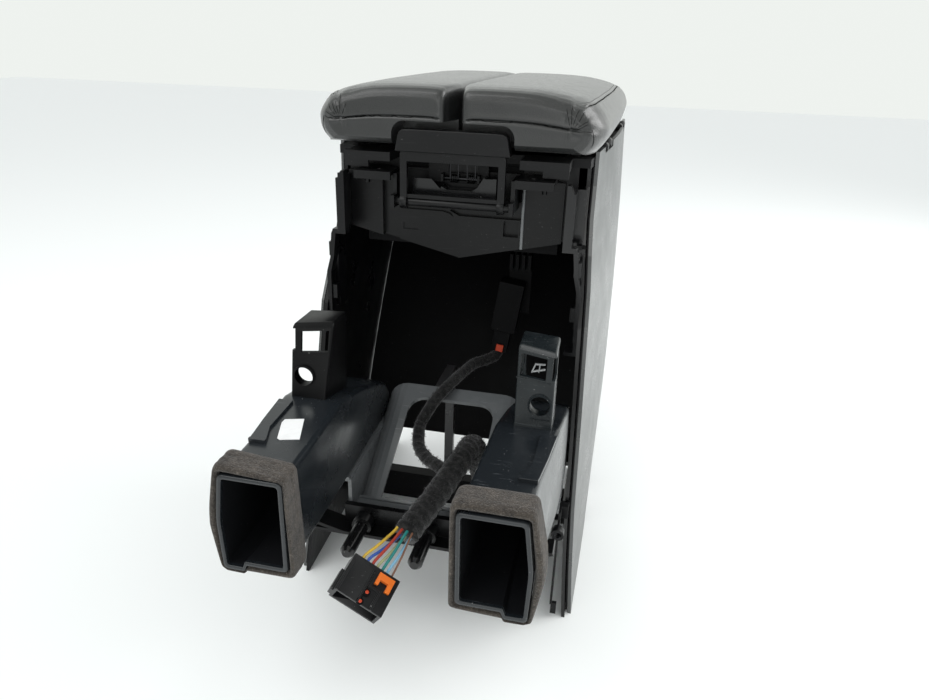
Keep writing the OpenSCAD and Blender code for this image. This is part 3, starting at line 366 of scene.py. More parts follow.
plastics = {  # colour, worn colour, roughness, what differs from the usual
    "satin": ((0.004, 0.004, 0.0044), (0.009, 0.009, 0.0098), 0.32, dict(dust=0.2, specular=0.24)),
    "gloss": ((0.005, 0.005, 0.0055), (0.01, 0.01, 0.011), 0.2, dict(depth=0.01, specular=0.45)),
    "matt": ((0.005, 0.005, 0.0055), (0.011, 0.011, 0.012), 0.55,
             dict(grain=1100, depth=0.05, specular=0.25)),
    # painted shade: a darker, duller copy of the black plastic, for parts that sit in shade
    "deepShade": ((0.003, 0.003, 0.0034), (0.006, 0.006, 0.0066), 0.6, dict(dust=0.15, scuffs=0.1, specular=0.12)),
    "panel": ((0.04, 0.043, 0.042), (0.055, 0.058, 0.057), 0.3,
              dict(grain=620, depth=0.05, dust=0.3, scuffs=0.15, specular=1.0)),
    "duct": ((0.0105, 0.013, 0.0155), (0.025, 0.029, 0.033), 0.27,
             dict(grain=500, spread=0.1, dust=0.7, scuffs=0.6)),
    # painted reflection: a lighter copy of the duct plastic, for the duct's outward side walls
    "ductLitSide": ((0.03, 0.034, 0.036), (0.05, 0.055, 0.058), 0.3, dict(grain=500, specular=0.9)),
    # painted shade: a darker, duller copy of the duct plastic, for the inside of the bore
    "ductShadedInside": ((0.008, 0.0085, 0.01), (0.012, 0.0125, 0.014), 0.65,
                   dict(dust=0.15, scuffs=0.1, specular=0.12)),
    "tower": ((0.0085, 0.0115, 0.013), (0.027, 0.034, 0.037), 0.28, dict(dust=0.8, scuffs=0.5, specular=0.4)),
    # painted shade: a darker copy of the tower plastic, for the left tower
    "darkTower": ((0.003, 0.003, 0.0033), (0.007, 0.007, 0.0076), 0.36,
                  dict(dust=0.3, scuffs=0.2, specular=0.14)),
    "tray": ((0.11, 0.117, 0.12), (0.19, 0.2, 0.205), 0.22, dict(grain=900, spread=0.06, specular=0.75)),
    "post": ((0.03, 0.03, 0.031), (0.06, 0.06, 0.06), 0.3, {}),
    "rubber": ((0.008, 0.008, 0.008), (0.014, 0.014, 0.014), 0.8, dict(specular=0.2)),
    "orange": ((0.8, 0.17, 0.015), (0.9, 0.28, 0.05), 0.4, dict(dust=0.15, scuffs=0.1)),
    "paleClip": ((0.3, 0.31, 0.31), (0.45, 0.46, 0.46), 0.3, dict(dust=0.2, scuffs=0.2)),
    # a deep red-orange; part of its darkness against the orange lock is painted shade
    "redLock": ((0.5, 0.045, 0.01), (0.6, 0.09, 0.02), 0.4, dict(dust=0.1, scuffs=0.1)),
    # painted shade: near-black for the lines that stand for the shade in the leather's seams and gathers
    "creaseShade": ((0.0016, 0.0016, 0.0016), (0.004, 0.004, 0.004), 0.9, dict(dust=0.1, scuffs=0, specular=0.05)),
    "connector": ((0.007, 0.007, 0.008), (0.02, 0.02, 0.022), 0.36,
                  dict(dust=0.7, scuffs=0.6, specular=0.35)),
}
finishes = {name: plastic(name + "Plastic", *basics, **more) for name, (*basics, more) in plastics.items()}
finishes["leather"] = leatherFinish("blackLeather", (0.0045, 0.005, 0.005), (0.01, 0.011, 0.0108), 0.34)
finishes["foam"] = foamFinish("brownFoam", (0.09, 0.075, 0.06), (0.02, 0.017, 0.014), (0.36, 0.32, 0.28))
finishes["fleece"] = fleeceFinish("fleeceTape", (0.006, 0.006, 0.0062), (0.04, 0.04, 0.038))
finishes["darkSteel"] = metalFinish("darkRodSteel", (0.05, 0.05, 0.053), 0.34)
finishes["paper"] = paperFinish("paperLabel", (0.78, 0.79, 0.78), (0.5, 0.5, 0.48))
print("finishes are mixed:", len(finishes))


# pieces made from points

def newPiece(name, points, faces, finish, body="console", smooth=True, outward=True):
    mesh = bpy.data.meshes.new(name)
    mesh.from_pydata([tuple(p) for p in points], [], faces)
    mesh.materials.append(finishes[finish] if isinstance(finish, str) else finish)
    mesh.polygons.foreach_set("use_smooth", [smooth] * len(mesh.polygons))
    mesh.update()
    piece = bpy.data.objects.new(name, mesh)
    scene.collection.objects.link(piece)
    if outward:
        fixNormals(piece)
    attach(piece, body)
    return piece


def fixNormals(piece):
    work = bmesh.new()
    work.from_mesh(piece.data)
    bmesh.ops.recalc_face_normals(work, faces=work.faces)
    work.to_mesh(piece.data)
    work.free()


def ringFaces(count, size, closeEnds=True):
    faces = []
    for i in range(count - 1):
        for k in range(size):
            n = (k + 1) % size
            faces.append((i * size + k, i * size + n, (i + 1) * size + n, (i + 1) * size + k))
    if closeEnds:
        faces.append(tuple(range(size - 1, -1, -1)))
        faces.append(tuple((count - 1) * size + k for k in range(size)))
    return faces


def loopFaces(count, size):
    # the last ring joins the first one, as in a wall with an inside
    last = (count - 1) * size
    return ringFaces(count, size, False) + [(k, last + k, last + (k + 1) % size, (k + 1) % size)
                                            for k in range(size)]


def addRings(points, faces, rings):
    # a closed run of rings joins a mesh that is being built
    start = len(points)
    points += [p for ring in rings for p in ring]
    faces += [tuple(start + k for k in face) for face in ringFaces(len(rings), len(rings[0]))]


def ringPiece(name, rings, finish):
    points, faces = [], []
    addRings(points, faces, rings)
    return newPiece(name, points, faces, finish)


def smoothRoute(points, steps):
    # a soft curve through the points
    path = []
    for i in range(len(points) - 1):
        a, b = points[max(i - 1, 0)], points[i]
        c, d = points[i + 1], points[min(i + 2, len(points) - 1)]
        for k in range(steps):
            t = k / steps
            path.append(0.5 * (2 * b + (c - a) * t + (2 * a - 5 * b + 4 * c - d) * t * t
                               + (3 * b - a - 3 * c + d) * t ** 3))
    return path + [points[-1]]


def tubeRings(path, radius, sides):
    # radius is a number or a function of (step, angle)
    rings = []
    side = Vector((0.3, 0.2, 1)).cross(path[1] - path[0]).normalized()
    for i, centre in enumerate(path):
        along = (path[min(i + 1, len(path) - 1)] - path[max(i - 1, 0)]).normalized()
        side = (side - along * side.dot(along)).normalized()
        other = along.cross(side)
        ring = []
        for k in range(sides):
            angle = 2 * math.pi * k / sides
            r = radius(i, angle) if callable(radius) else radius
            ring.append(centre + (side * math.cos(angle) + other * math.sin(angle)) * r)
        rings.append(ring)
    return rings


def addModifier(piece, kind, **settings):
    made = piece.modifiers.new(kind.lower(), kind)
    for key, value in settings.items():
        setattr(made, key, value)


def bakeModifiers(piece):
    # the piece keeps its modified mesh and has no modifiers left
    bpy.context.view_layer.update()
    graph = bpy.context.evaluated_depsgraph_get()
    baked = bpy.data.meshes.new_from_object(piece.evaluated_get(graph))
    old = piece.data
    piece.modifiers.clear()
    piece.data = baked
    bpy.data.meshes.remove(old)


def blockPiece(name, blocks, finish, edge=0):
    # closed blocks in one piece, each a run of rings
    points, faces = [], []
    for rings in blocks:
        addRings(points, faces, rings)
    piece = newPiece(name, points, faces, finish, smooth=False)
    if edge:
        softenEdges(piece, edge)
        bakeModifiers(piece)


edgeLook = {"weldGap": 0.00002, "segments": 2, "angle": 32}


def softenEdges(piece, width, angle=edgeLook["angle"]):
    addModifier(piece, "WELD", merge_threshold=edgeLook["weldGap"])
    addModifier(piece, "BEVEL", width=width * mm, segments=edgeLook["segments"], limit_method="ANGLE",
                angle_limit=math.radians(angle), use_clamp_overlap=True, harden_normals=True)


def prism(outline, y0, y1, side):
    # a cutter with its outline in x and z, drawn between two distances
    mesh = bpy.data.meshes.new("cutter")
    points = [place(side * x, y, z) for y in (y0, y1) for x, z in outline]
    mesh.from_pydata(points, [], ringFaces(2, len(outline)))
    cutter = bpy.data.objects.new("cutter", mesh)
    scene.collection.objects.link(cutter)
    fixNormals(cutter)
    return cutter


def carve(piece, cutters):
    for cutter in cutters:
        addModifier(piece, "BOOLEAN", operation="DIFFERENCE", object=cutter, solver="EXACT")
        bakeModifiers(piece)
        bpy.data.objects.remove(cutter)


def shadeSmooth(mesh, angle):
    # smooth faces, with the edges above the angle left sharp
    mesh.polygons.foreach_set("use_smooth", [True] * len(mesh.polygons))
    mesh.set_sharp_from_angle(angle=math.radians(angle))


def dress(name, finish, width):
    # a CAD node keeps its shape and gets its finish and soft edges
    piece = nodes[name]
    piece.data.materials.clear()
    piece.data.materials.append(finishes[finish])
    if width:
        softenEdges(piece, width)


# rigid parts that keep their construction shape

rigidFinish = [  # finish, width of the soft edges, parts
    ("deepShade", 0.2, "left_mid_shell right_mid_shell"), ("deepShade", 0.3, "left_lid_shell right_lid_shell"),
    ("deepShade", 0.4, "socket_bracket"), ("deepShade", 0.5, "storage_bin branch_plug"),
    ("deepShade", 0.6, "rear_panel rear_cross_member"), ("deepShade", 0.8, "socket_block"),
    ("satin", 0.3, "left_hinge_brackets right_hinge_brackets pivot_rod harness_clamp side_clip"),
    ("satin", 0.4, "front_wall left_stop_bracket right_stop_bracket"),
    ("satin", 0.5, "button_bail front_crossbar"), ("satin", 0.6, "left_inner_carrier"),
    ("satin", 1.1, "release_button"), ("gloss", 0.3, "catch_plate"), ("gloss", 0.6, "left_peg right_peg"),
    ("gloss", 0.7, "right_inner_carrier"), ("matt", 0.3, "latch_back_plate"), ("matt", 0.5, "upper_frame"),
    ("panel", 0.6, "left_side_trim right_side_trim"), ("tray", 0.0, "corner_bead"),
    ("tray", 0.5, "base_tray"), ("post", 0.5, "tray_post"), ("rubber", 0.5, "lid_bumpers"),
    ("darkSteel", 0.0, "left_latch_spring right_latch_spring clip_spring"),
    ("darkSteel", 0.2, "left_hinge_pins right_hinge_pins spring_pin"),
    ("paper", 0.0, "label_sticker"), ("redLock", 0.3, "branch_plug_lock"), ("orange", 0.3, "connector_lock"),
    ("connector", 0.35, "connector_body"),
]
for finishName, edge, parts in rigidFinish:
    for part in parts.split():
        dress(part, finishName, edge)
print("rigid parts are dressed")


# padded lids

lid = {
    "length": 380.0, "under": 395.0, "crown": 45.0, "gap": 12.0, "fullWidth": 100, "bulge": 0.006,
    "hingeX": 108.4, "hingeSlope": 0.057, "hingeFrom": 20, "middleColumns": 16, "flankBlend": 12,
    "rowStep": 6.2,
    "seamDepth": 1.5, "frontSeamRow": 7, "flankSeamInset": 11.8, "foldInset": 15.2, "foldDepth": 0.55,
    "swell": 0.32, "ripple": 0.1,
    "notchHalf": 48.0, "notchTop": 413.5, "notchDepth": 30.0, "notchRadius": 10.0,
    "cutFoot": 380, "pocketTop": 399, "pocketFront": 24, "sharpAngle": 40,
}
lidHeight = [(0, 0.78), (1.5, 0.87), (4, 0.93), (8, 0.96), (16, 0.985), (30, 1), (90, 1.01), (300, 1),
             (344, 0.95), (366, 0.82), (375, 0.66), (380, 0.48)]
lidLow = [(0, 400), (3, 396.6), (8, 395), (366, 395), (375, 397.5), (380, 402)]
lidReach = [(0, -9), (1.5, -6.2), (3, -3.5), (5.5, -1.3), (8, 0.5), (12, 2.6), (16, 4), (22, 5.6), (30, 6.6),
            (90, 6.8), (200, 5.6), (330, 0.8), (345, -1.3), (360, -5.5), (372, -11), (380, -21)]
lidInner = [(0, 10.5), (0.6, 9), (1.5, 7.9), (3, 6.9), (6, 6.1), (12, 5.4), (24, 2.36), (38, 0.8), (380, 0.8)]
# across one lid: inset from the flank and share of the height
flankSide = [(8.6, 0), (5.4, 0.06), (2.8, 0.13), (0.9, 0.22), (0.25, 0.29), (0.02, 0.34), (0, 0.37),
             (0.12, 0.4), (0.35, 0.43), (0.75, 0.46), (1.3, 0.495), (1.9, 0.53), (2.6, 0.568), (3.7, 0.61),
             (5.2, 0.653)]
faceShare = [0, 0.05, 0.13, 0.25, 0.38, 0.475, 0.52, 0.545, 0.57, 0.615, 0.68, 0.76, 0.85, 0.93, 1]
shoulder = [(5.2, 0.653), (7, 0.7), (10, 0.75), (14, 0.8), (19, 0.845), (24, 0.88), (34, 0.93), (45, 0.968),
            (60, 0.99), (80, 1.0), (200, 1.0)]
gapShoulder = [(1.2, 0.94), (2.2, 0.963), (3.4, 0.978), (5, 0.988), (9, 0.997), (14, 1)]
gapSide = [(0, 1.2), (0.12, 0), (0.9, 0), (1, 1.2)]
outerInsets = [5.2, 7, 8.8, 10.2, 11.0, 11.4, 11.8, 12.2, 12.6, 13.5, 14.6, 15.2, 15.8, 17, 19.5, 23, 28, 34]
innerInsets = [1.2, 2.2, 3.4, 5, 7.5, 11, 15]
lidYs = [0, 0.4, 0.9, 1.5, 2.2, 3, 4, 5.2, 6.5, 8, 9.5, 11, 12.5, 14, 16, 18, 20.5, 23, 26, 29, 33, 38, 44]
while lidYs[-1] < 340:
    lidYs.append(lidYs[-1] + lid["rowStep"])
lidYs += [346, 351, 356, 361, 365.5, 369.5, 373, 375.8, 378, 379.3, 380]

# a cell of the cover is (place in lidYs, column from the gap to the flank, row from below to the top)
lastColumn = len(innerInsets) + lid["middleColumns"] + len(outerInsets) - 1
topRow = len(faceShare) - 1
seamColumn = lastColumn - outerInsets.index(lid["flankSeamInset"])
foldColumn = lastColumn - outerInsets.index(lid["foldInset"])


def lidPoint(y, column, row):
    inner = lookUp(y, lidInner)
    reach = lid["hingeX"] + lid["hingeSlope"] * (y - lid["hingeFrom"]) + lookUp(y, lidReach)
    low = lookUp(y, lidLow)
    height = lid["under"] + lid["crown"] * lookUp(y, lidHeight) - low
    narrow = min(1.0, (reach - inner) / lid["fullWidth"])
    start, middle = len(innerInsets), lid["middleColumns"]
    if column < start:
        x = inner + innerInsets[column]
        share = lookUp(innerInsets[column], gapShoulder)
    elif column < start + middle:
        t = (column - start + 1) / (middle + 1)
        x = blendTo(inner + innerInsets[-1], reach - outerInsets[-1] * narrow, t)
        share = min(lookUp((reach - x) / narrow, shoulder), 1.0)
    else:
        inset = outerInsets[lastColumn - column]
        x = reach - inset * narrow
        share = lookUp(inset, shoulder)
    bulge = 1 + lid["bulge"] * math.sin(math.pi * min(1, max(0, (x - inner) / lid["fullWidth"])))
    top = low + height * share * (bulge if share > 0.9 else 1)
    if row == topRow:
        return x, y, top
    if column == lastColumn:  # flank
        inset, share = flankSide[row]
        return reach - inset * narrow, y, low + height * share
    if column == 0:  # side along the gap
        share = faceShare[row]
        return inner + lookUp(share, gapSide), y, low + (top - low) * share
    flank = ease((column - lastColumn - 1 + lid["flankBlend"]) / lid["flankBlend"])
    share = blendTo(faceShare[row], flankSide[row][1] / flankSide[-1][1], flank)
    return x, y, low + (top - low) * share


def lidFaces(index):
    # quads over the six sides of the padded block
    faces = []
    last = len(lidYs) - 1
    end, top = lastColumn, topRow

    def quad(*cells):
        faces.append(tuple(index[cell] for cell in cells))
    for i in range(last):
        for j in range(end):
            quad((i, j, top), (i, j + 1, top), (i + 1, j + 1, top), (i + 1, j, top))
            quad((i, j, 0), (i + 1, j, 0), (i + 1, j + 1, 0), (i, j + 1, 0))
        for k in range(top):
            quad((i, 0, k), (i, 0, k + 1), (i + 1, 0, k + 1), (i + 1, 0, k))
            quad((i, end, k), (i + 1, end, k), (i + 1, end, k + 1), (i, end, k + 1))
    for j in range(end):
        for k in range(top):
            quad((0, j, k), (0, j + 1, k), (0, j + 1, k + 1), (0, j, k + 1))
            quad((last, j, k), (last, j, k + 1), (last, j + 1, k + 1), (last, j + 1, k))
    return faces


def seamDent(away, last):
    # a groove with a little swell on both sides, by rows from the seam
    return (1.0, 0.2, -0.3, -0.3)[away] if away <= last else 0


gather = {"x": 86, "z": 416, "turnX": 84, "turnZ": 412, "fromX": 82, "fromZ": 408, "reach": 34, "folds": 13,
          "height": 0.5}


def lidPush(p, cell, seed):
    # how far the cover stands out at a point
    i, j, k = cell
    push = 0.0
    if k == topRow:  # seam and fold along the flank, from the corner to the back
        strength = ease((p.y - 9) / 6) * ease((378 - p.y) / 10)
        push -= lid["seamDepth"] * strength * seamDent(abs(j - seamColumn), 3)
        push -= lid["foldDepth"] * strength * (j == foldColumn)
    if i == 0 and 0 < k < topRow:  # seam across the front face
        push -= lid["seamDepth"] * ease((101 - p.x) / 8) * seamDent(abs(k - lid["frontSeamRow"]), 2)
    if p.x > gather["fromX"] and p.y < gather["reach"] and p.z > gather["fromZ"]:
        # gathers that fan out of the end of the front seam
        away = math.hypot(p.x - gather["x"], p.y if k == topRow else p.z - gather["z"])
        turn = math.atan2(p.z - gather["turnZ"] + 0.5 * p.y, p.x - gather["turnX"] + 0.4 * p.y)
        fade = ease((away - 1) / 6) * ease((gather["reach"] - away) / 16) * ease((32 - p.y) / 14)
        push += gather["height"] * fade * math.sin(turn * gather["folds"] + seed)
    # soft hollows and swells of the padding
    soft = noise.noise(Vector((p.x * 0.02, p.y * 0.012, seed))) * lid["swell"]
    soft += noise.noise(Vector((p.x * 0.07 + seed, p.y * 0.05, p.z * 0.07))) * lid["ripple"]
    if k > 1:
        push += soft * min(1.0, (p.z - 398) / 12)
    return push


def makeLid(name, body, side, seed):
    index, points = {}, []
    for i, y in enumerate(lidYs):
        for j in range(lastColumn + 1):
            for k in range(topRow + 1):
                if i in (0, len(lidYs) - 1) or j in (0, lastColumn) or k in (0, topRow):
                    index[i, j, k] = len(points)
                    points.append(Vector(lidPoint(y, j, k)))
    faces = lidFaces(index)
    mesh = bpy.data.meshes.new(name)
    mesh.from_pydata(points, [], faces)
    mesh.update()
    moved = [p + v.normal * lidPush(p, cell, seed) for p, v, cell in zip(points, mesh.vertices, index)]
    bpy.data.meshes.remove(mesh)
    if side < 0:
        faces = [tuple(reversed(f)) for f in faces]
    piece = newPiece(name, [place(side * p.x, p.y, p.z) for p in moved], faces, "leather",
                     body, outward=False)
    addModifier(piece, "SUBSURF", levels=1, render_levels=1)
    bakeModifiers(piece)
    carve(piece, lidCutters(side))
    shadeSmooth(piece.data, lid["sharpAngle"])
    return piece


def lidCutters(side):
    # the dark recess for the button, and the hollow for the hard shell
    half, top, radius, foot = lid["notchHalf"], lid["notchTop"], lid["notchRadius"], lid["cutFoot"]
    arc = [(half - radius + radius * math.cos(a), top - radius + radius * math.sin(a))
           for a in circleAngles(40)[:11]]
    x0, x1 = lid["gap"] / 2 + 8, lid["gap"] / 2 + lid["hingeX"] - 30
    front = lid["pocketFront"]
    return [prism([(-20, foot), (half, foot)] + arc + [(-20, top)], -6, lid["notchDepth"], side),
            prism(rectangle(x0, x1, foot, lid["pocketTop"]), front, front + lid["length"] - 60, side)]


# painted shade lines along the leather's seams, fold and gathers
shadeLine = {
    "flank": 0.3, "fold": 0.16, "front": 0.26, "corner": 0.3, "gather": 0.2,  # radii of the lines
    "flankEnds": (13, 374),
    "cornerLine": [(105.6, 2.5, 414), (107.4, 3.5, 409), (108.2, 4.2, 403), (107.2, 5, 398)],
    "gathers": 7, "firstAngle": 6, "angleStep": 17, "wander": 4, "seed": 11,
    "gatherX": 89, "gatherZ": 411.5, "gatherFrom": 4.5, "gatherTo": (13, 23), "edgeZ": 427.5,
}


def gatherLine(angle, far):
    # up the front face, and on over the rounded edge
    points = []
    for s in range(7):
        r = shadeLine["gatherFrom"] + (far - shadeLine["gatherFrom"]) * s / 6
        x, z = shadeLine["gatherX"] + r * math.cos(angle), shadeLine["gatherZ"] + r * math.sin(angle)
        over = max(0, z - shadeLine["edgeZ"])
        points.append((x + 0.25 * over, over * 1.1, z - 0.4 * over))
    return points


def layShadeLines(name, lidPiece, body, side):
    # painted shade: dark lines laid on the finished leather along the seams, the fold and the gathers
    start, stop = shadeLine["flankEnds"]
    ys = [y for y in lidYs if start < y < stop]
    lines = [([lidPoint(y, seamColumn, topRow) for y in ys], shadeLine["flank"]),
             ([lidPoint(y, foldColumn, topRow) for y in ys], shadeLine["fold"]),
             ([lidPoint(0, j, lid["frontSeamRow"]) for j in range(2, lastColumn - 5)], shadeLine["front"]),
             (shadeLine["cornerLine"], shadeLine["corner"])]
    chance = random.Random(shadeLine["seed"] + side)
    for k in range(shadeLine["gathers"]):
        wander = chance.uniform(-shadeLine["wander"], shadeLine["wander"])
        angle = math.radians(shadeLine["firstAngle"] + shadeLine["angleStep"] * k + wander)
        lines.append((gatherLine(angle, chance.uniform(*shadeLine["gatherTo"])), shadeLine["gather"]))
    work = bmesh.new()
    work.from_mesh(lidPiece.data)
    tree = BVHTree.FromBMesh(work)
    work.free()
    points, faces = [], []
    for line, radius in lines:
        path = []
        for x, y, z in line:
            spot = tree.find_nearest(place(side * x, y, z))[0]
            if not path or (spot - path[-1]).length > 0.3 * mm:
                path.append(spot)
        path = smoothRoute(path, 3)

        def taper(i, angle):
            return radius * mm * min(1.0, 0.25 + 0.3 * min(i, len(path) - 1 - i))
        addRings(points, faces, tubeRings(path, taper, 6))
    newPiece(name, points, faces, "creaseShade", body)


leftLid = makeLid("leftLidLeather", "left_lid", -1, 3.7)
rightLid = makeLid("rightLidLeather", "right_lid", 1, 9.1)
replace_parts(leftLid, "left_lid_pad")
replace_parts(rightLid, "right_lid_pad")
layShadeLines("leftLidShadeLines", leftLid, "left_lid", -1)
layShadeLines("rightLidShadeLines", rightLid, "right_lid", 1)
print("lids are upholstered")


# air ducts

duct = {
    "reach": 206.0, "end": 34.0, "floor": 142.0, "wall": 2.2,
    "mouthIn": (57.9, 57.2), "endIn": (66.6, 66), "mouthLow": (149.7, 144.5), "lowEnd": 96,
    "step": (88, 86), "stepRise": 1.2, "fold": 0.51,  # the step in the floor, the crease in the outer wall
    "outerRadii": [3.6, 4.2, 3.6, 6, 3.2, 1.0, 1.0], "innerRadii": [2.4, 2.6, 2.4, 5, 2.2, 0.6, 0.6],
    "wave": 0.35, "waveFrom": -196, "middleX": 80, "middleHalf": 14, "sideFacing": 0.75,
}
# the outer wall's place: along the duct, then at its top, its crease and its foot
ductOut = [(-206, 99, 103.7, 102.2), (-163, 99.6, 104.4, 103.2), (-122.2, 104.2, 107.2, 106.4),
           (-95, 106.4, 108.8, 108.8), (-70, 107.8, 109.6, 110), (-50, 108.3, 109.8, 110.2),
           (-20, 108.2, 109.4, 109.8), (9, 107.8, 109, 109.4), (34, 107, 108.2, 108.4)]
ductLine = [(-95, 217), (-50, 206.3), (-20, 196), (9, 185), (24, 176), (34, 163)]
ductStations = [-206, -205.4, -204.6, -203, -200, -196, -190, -180, -170, -160, -150, -140, -130, -120, -110,
                -102, -95, -88, -80, -70, -60, -50, -40, -30, -20, -10, 0, 9, 17, 24, 30, 34]


def ductCorners(y, grow):
    # corners of the bore, moved out by grow
    along = y + duct["reach"]
    t = min(1, max(0, along / (duct["reach"] + duct["end"])))
    f = min(1, max(0, along / (duct["reach"] - duct["lowEnd"])))
    floor = duct["floor"] + duct["wall"]
    top = lookUp(y, ductLine) - duct["wall"] + grow
    inLow = blendTo(duct["mouthLow"][0], floor + duct["stepRise"], f) - grow
    outLow = blendTo(duct["mouthLow"][1], floor, f) - grow
    inside = duct["wall"] - grow
    inX, inTopX = (blendTo(a, b, t) - grow for a, b in zip(duct["mouthIn"], duct["endIn"]))
    outTop, outMiddle, outFoot = (lookUp(y, ductOut, column) for column in (1, 2, 3))
    return [(inX, inLow), (inTopX, top), (outTop - 0.9 * inside, top),
            (outMiddle - inside, blendTo(outLow, top, duct["fold"])), (outFoot - 0.9 * inside, outLow),
            (duct["step"][0] - 0.4 * grow, outLow), (duct["step"][1] - 0.4 * grow, inLow)]


def roundedRing(corners, radii, steps=4):
    # each corner becomes a short curve
    ring = []
    n = len(corners)
    for k in range(n):
        a, b, c = (Vector(corners[(k + d) % n]) for d in (-1, 0, 1))
        u, v = (a - b), (c - b)
        start = b + u.normalized() * min(radii[k], 0.45 * u.length)
        stop = b + v.normalized() * min(radii[k], 0.45 * v.length)
        for s in range(steps + 1):
            t = s / steps
            ring.append(start * (1 - t) ** 2 + b * 2 * t * (1 - t) + stop * t * t)
    return ring


def ductPoint(x, y, z, side, inside):
    # blown walls are never quite flat
    lift = 0
    if y > duct["waveFrom"]:
        lift = noise.noise(Vector((x * 0.05, y * 0.03, z * 0.05 + side))) * duct["wave"]
    sway = lift if abs(x - duct["middleX"]) > duct["middleHalf"] else 0
    return place(side * (x + sway), y, z + (0 if inside else min(0, lift)))


def makeDuct(name, side):
    outer = len(ductStations)
    points = []
    for n, y in enumerate(ductStations + ductStations[::-1]):
        inside = n >= outer
        if inside:  # the bore opens a little towards the lip
            lip = 0.5 if y < -205.5 else 0.9 if y < -202 else 0.9 * ease((-196 - y) / 6)
            ring = roundedRing(ductCorners(y, -lip), duct["innerRadii"])
        else:
            lip = 0.5 if y < -205.5 else 0.15 if y < -204.8 else 0
            ring = roundedRing(ductCorners(y, duct["wall"] - lip), duct["outerRadii"])
        points += [ductPoint(p.x, y, p.y, side, inside) for p in ring]
    count = 2 * outer
    size = len(points) // count
    piece = newPiece(name, points, loopFaces(count, size), "duct")
    piece.data.materials.append(finishes["ductShadedInside"])
    piece.data.materials.append(finishes["ductLitSide"])
    for n, face in enumerate(piece.data.polygons):
        # painted shade: the faces inside the bore take the darker copy
        if outer + 1 <= n // size < count - 4:
            face.material_index = 1
        # painted reflection: faces that look out to the side take the lighter copy
        elif face.normal.x * side > duct["sideFacing"]:
            face.material_index = 2
    return piece


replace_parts(makeDuct("leftAirDuct", -1), "left_duct")
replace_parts(makeDuct("rightAirDuct", 1), "right_duct")

flap = {
    "plate": [(86.5, -163), (98.8, -163), (100.4, -150), (102.2, -136), (103.5, -122.2), (105.2, -105),
              (93.6, -105), (93, -124), (92.4, -145)],
    "wall": rectangle(86.5, 98.8, -165, -162.5),
    "low": 216.6, "plateTop": 219, "wallTop": 219.9, "edge": 0.35,
}


def makeFlap(name, side):
    # raised strip along the outer upper edge, with a low wall at its front
    blocks = [[[place(side * x, y, z) for x, y in outline] for z in (flap["low"], top)]
              for outline, top in ((flap["plate"], flap["plateTop"]), (flap["wall"], flap["wallTop"]))]
    blockPiece(name, blocks, "duct", flap["edge"])


makeFlap("leftDuctFlap", -1)
makeFlap("rightDuctFlap", 1)
print("ducts are blown")


# bracket towers on the ducts

tower = {
    "back": -50.0, "wall": 2.6, "side": 1.6, "rightLip": -71, "window": (73.2, 92.5, 251.8, 267.4),
    "step": (96.8, 103, 253, 275), "holeX": 90, "holeZ": 233.5, "hole": 7.3, "collar": 8.8,
    "collarY": (-92.4, -85), "edge": 0.3, "sharpAngle": 35,
    "rows": [217, 219, 223, 228, 233, 238, 243, 248, 253, 258, 263, 267, 269, 270.6],
    "wallRadii": [0.3, 1.6, 1.4, 0.3, 0.3, 0.4, 0.4, 0.3], "capRadii": [0.5, 1.8, 1.6, 0.5],
    "cap": [(269.6, -0.06), (270.4, 0.0), (271.3, 0.35), (272.1, 1.0), (272.7, 1.9), (273, 3.2)],  # z, inset
    "capFoot": 270.9, "capBack": (98.6, -55),
    "ridges": [(70.8, 96, 250.2), (84, 98.2, 223.4)],  # x from and to, z
    "ridge": [(-0.5, 0), (0.6, 0), (0.6, 0.7), (-0.5, 0.7)],
}
# height, then the inner and the outer corner's x and y
towerCorners = [(217, 72.5, -95, 100, -95), (269, 70.5, -77.4, 99, -87.6), (272, 70.5, -75.4, 99, -85.8),
                (273, 70.5, -72.6, 99, -83)]


def towerAt(z):
    return [lookUp(z, towerCorners, column) for column in (1, 2, 3, 4)]


def towerWall(z, side):
    inX, inY, outX, outY = towerAt(z)
    w, s, back = tower["wall"], tower["side"], tower["back"]
    lip = tower["rightLip"] if side > 0 else outY + w + 1.6
    return [(inX, back), (inX, inY), (outX, outY), (outX, lip), (outX - s, lip), (outX - s, outY + w),
            (inX + w, inY + w), (inX + w, back)]


def towerCircle(radius):
    return [(tower["holeX"] + radius * math.cos(a), tower["holeZ"] + radius * math.sin(a))
            for a in circleAngles(40)]


def towerCap(side, finish):
    # the lid of the tower, with its front edge rolled over
    rings = []
    for z, inset in tower["cap"]:
        inX, inY, outX, outY = towerAt(min(z, tower["capFoot"]))
        slip = inset * 0.4
        backX, backY = tower["capBack"]
        outline = [(inX + slip, tower["back"]), (inX + slip, inY + inset), (outX - slip, outY + inset),
                   (backX - slip, backY)]
        rings.append([place(side * p.x, p.y, z) for p in roundedRing(outline, tower["capRadii"])])
    return ringPiece("cap", rings, finish)


def towerCollar(side, finish):
    # short tube behind the hole
    front, back = tower["collarY"]
    rings = [(front, tower["hole"]), (back, tower["hole"]), (back, tower["collar"]), (front, tower["collar"])]
    points = [place(side * x, y, z) for y, radius in rings for x, z in towerCircle(radius)]
    return newPiece("collar", points, loopFaces(4, 40), finish)


def towerRidge(x0, x1, z, finish):
    # a thin raised line on the right tower's face
    _, inY, _, outY = towerAt(z)
    rings = []
    for x in (x0, x1):
        y = inY + (outY - inY) * (x - 71) / 28
        rings.append([place(x, y + dy, z + dz) for dy, dz in tower["ridge"]])
    return ringPiece("ridge", rings, finish)


def joinPieces(piece, others):
    work = bmesh.new()
    work.from_mesh(piece.data)
    for other in others:
        work.from_mesh(other.data)
        bpy.data.objects.remove(other)
    work.to_mesh(piece.data)
    work.free()


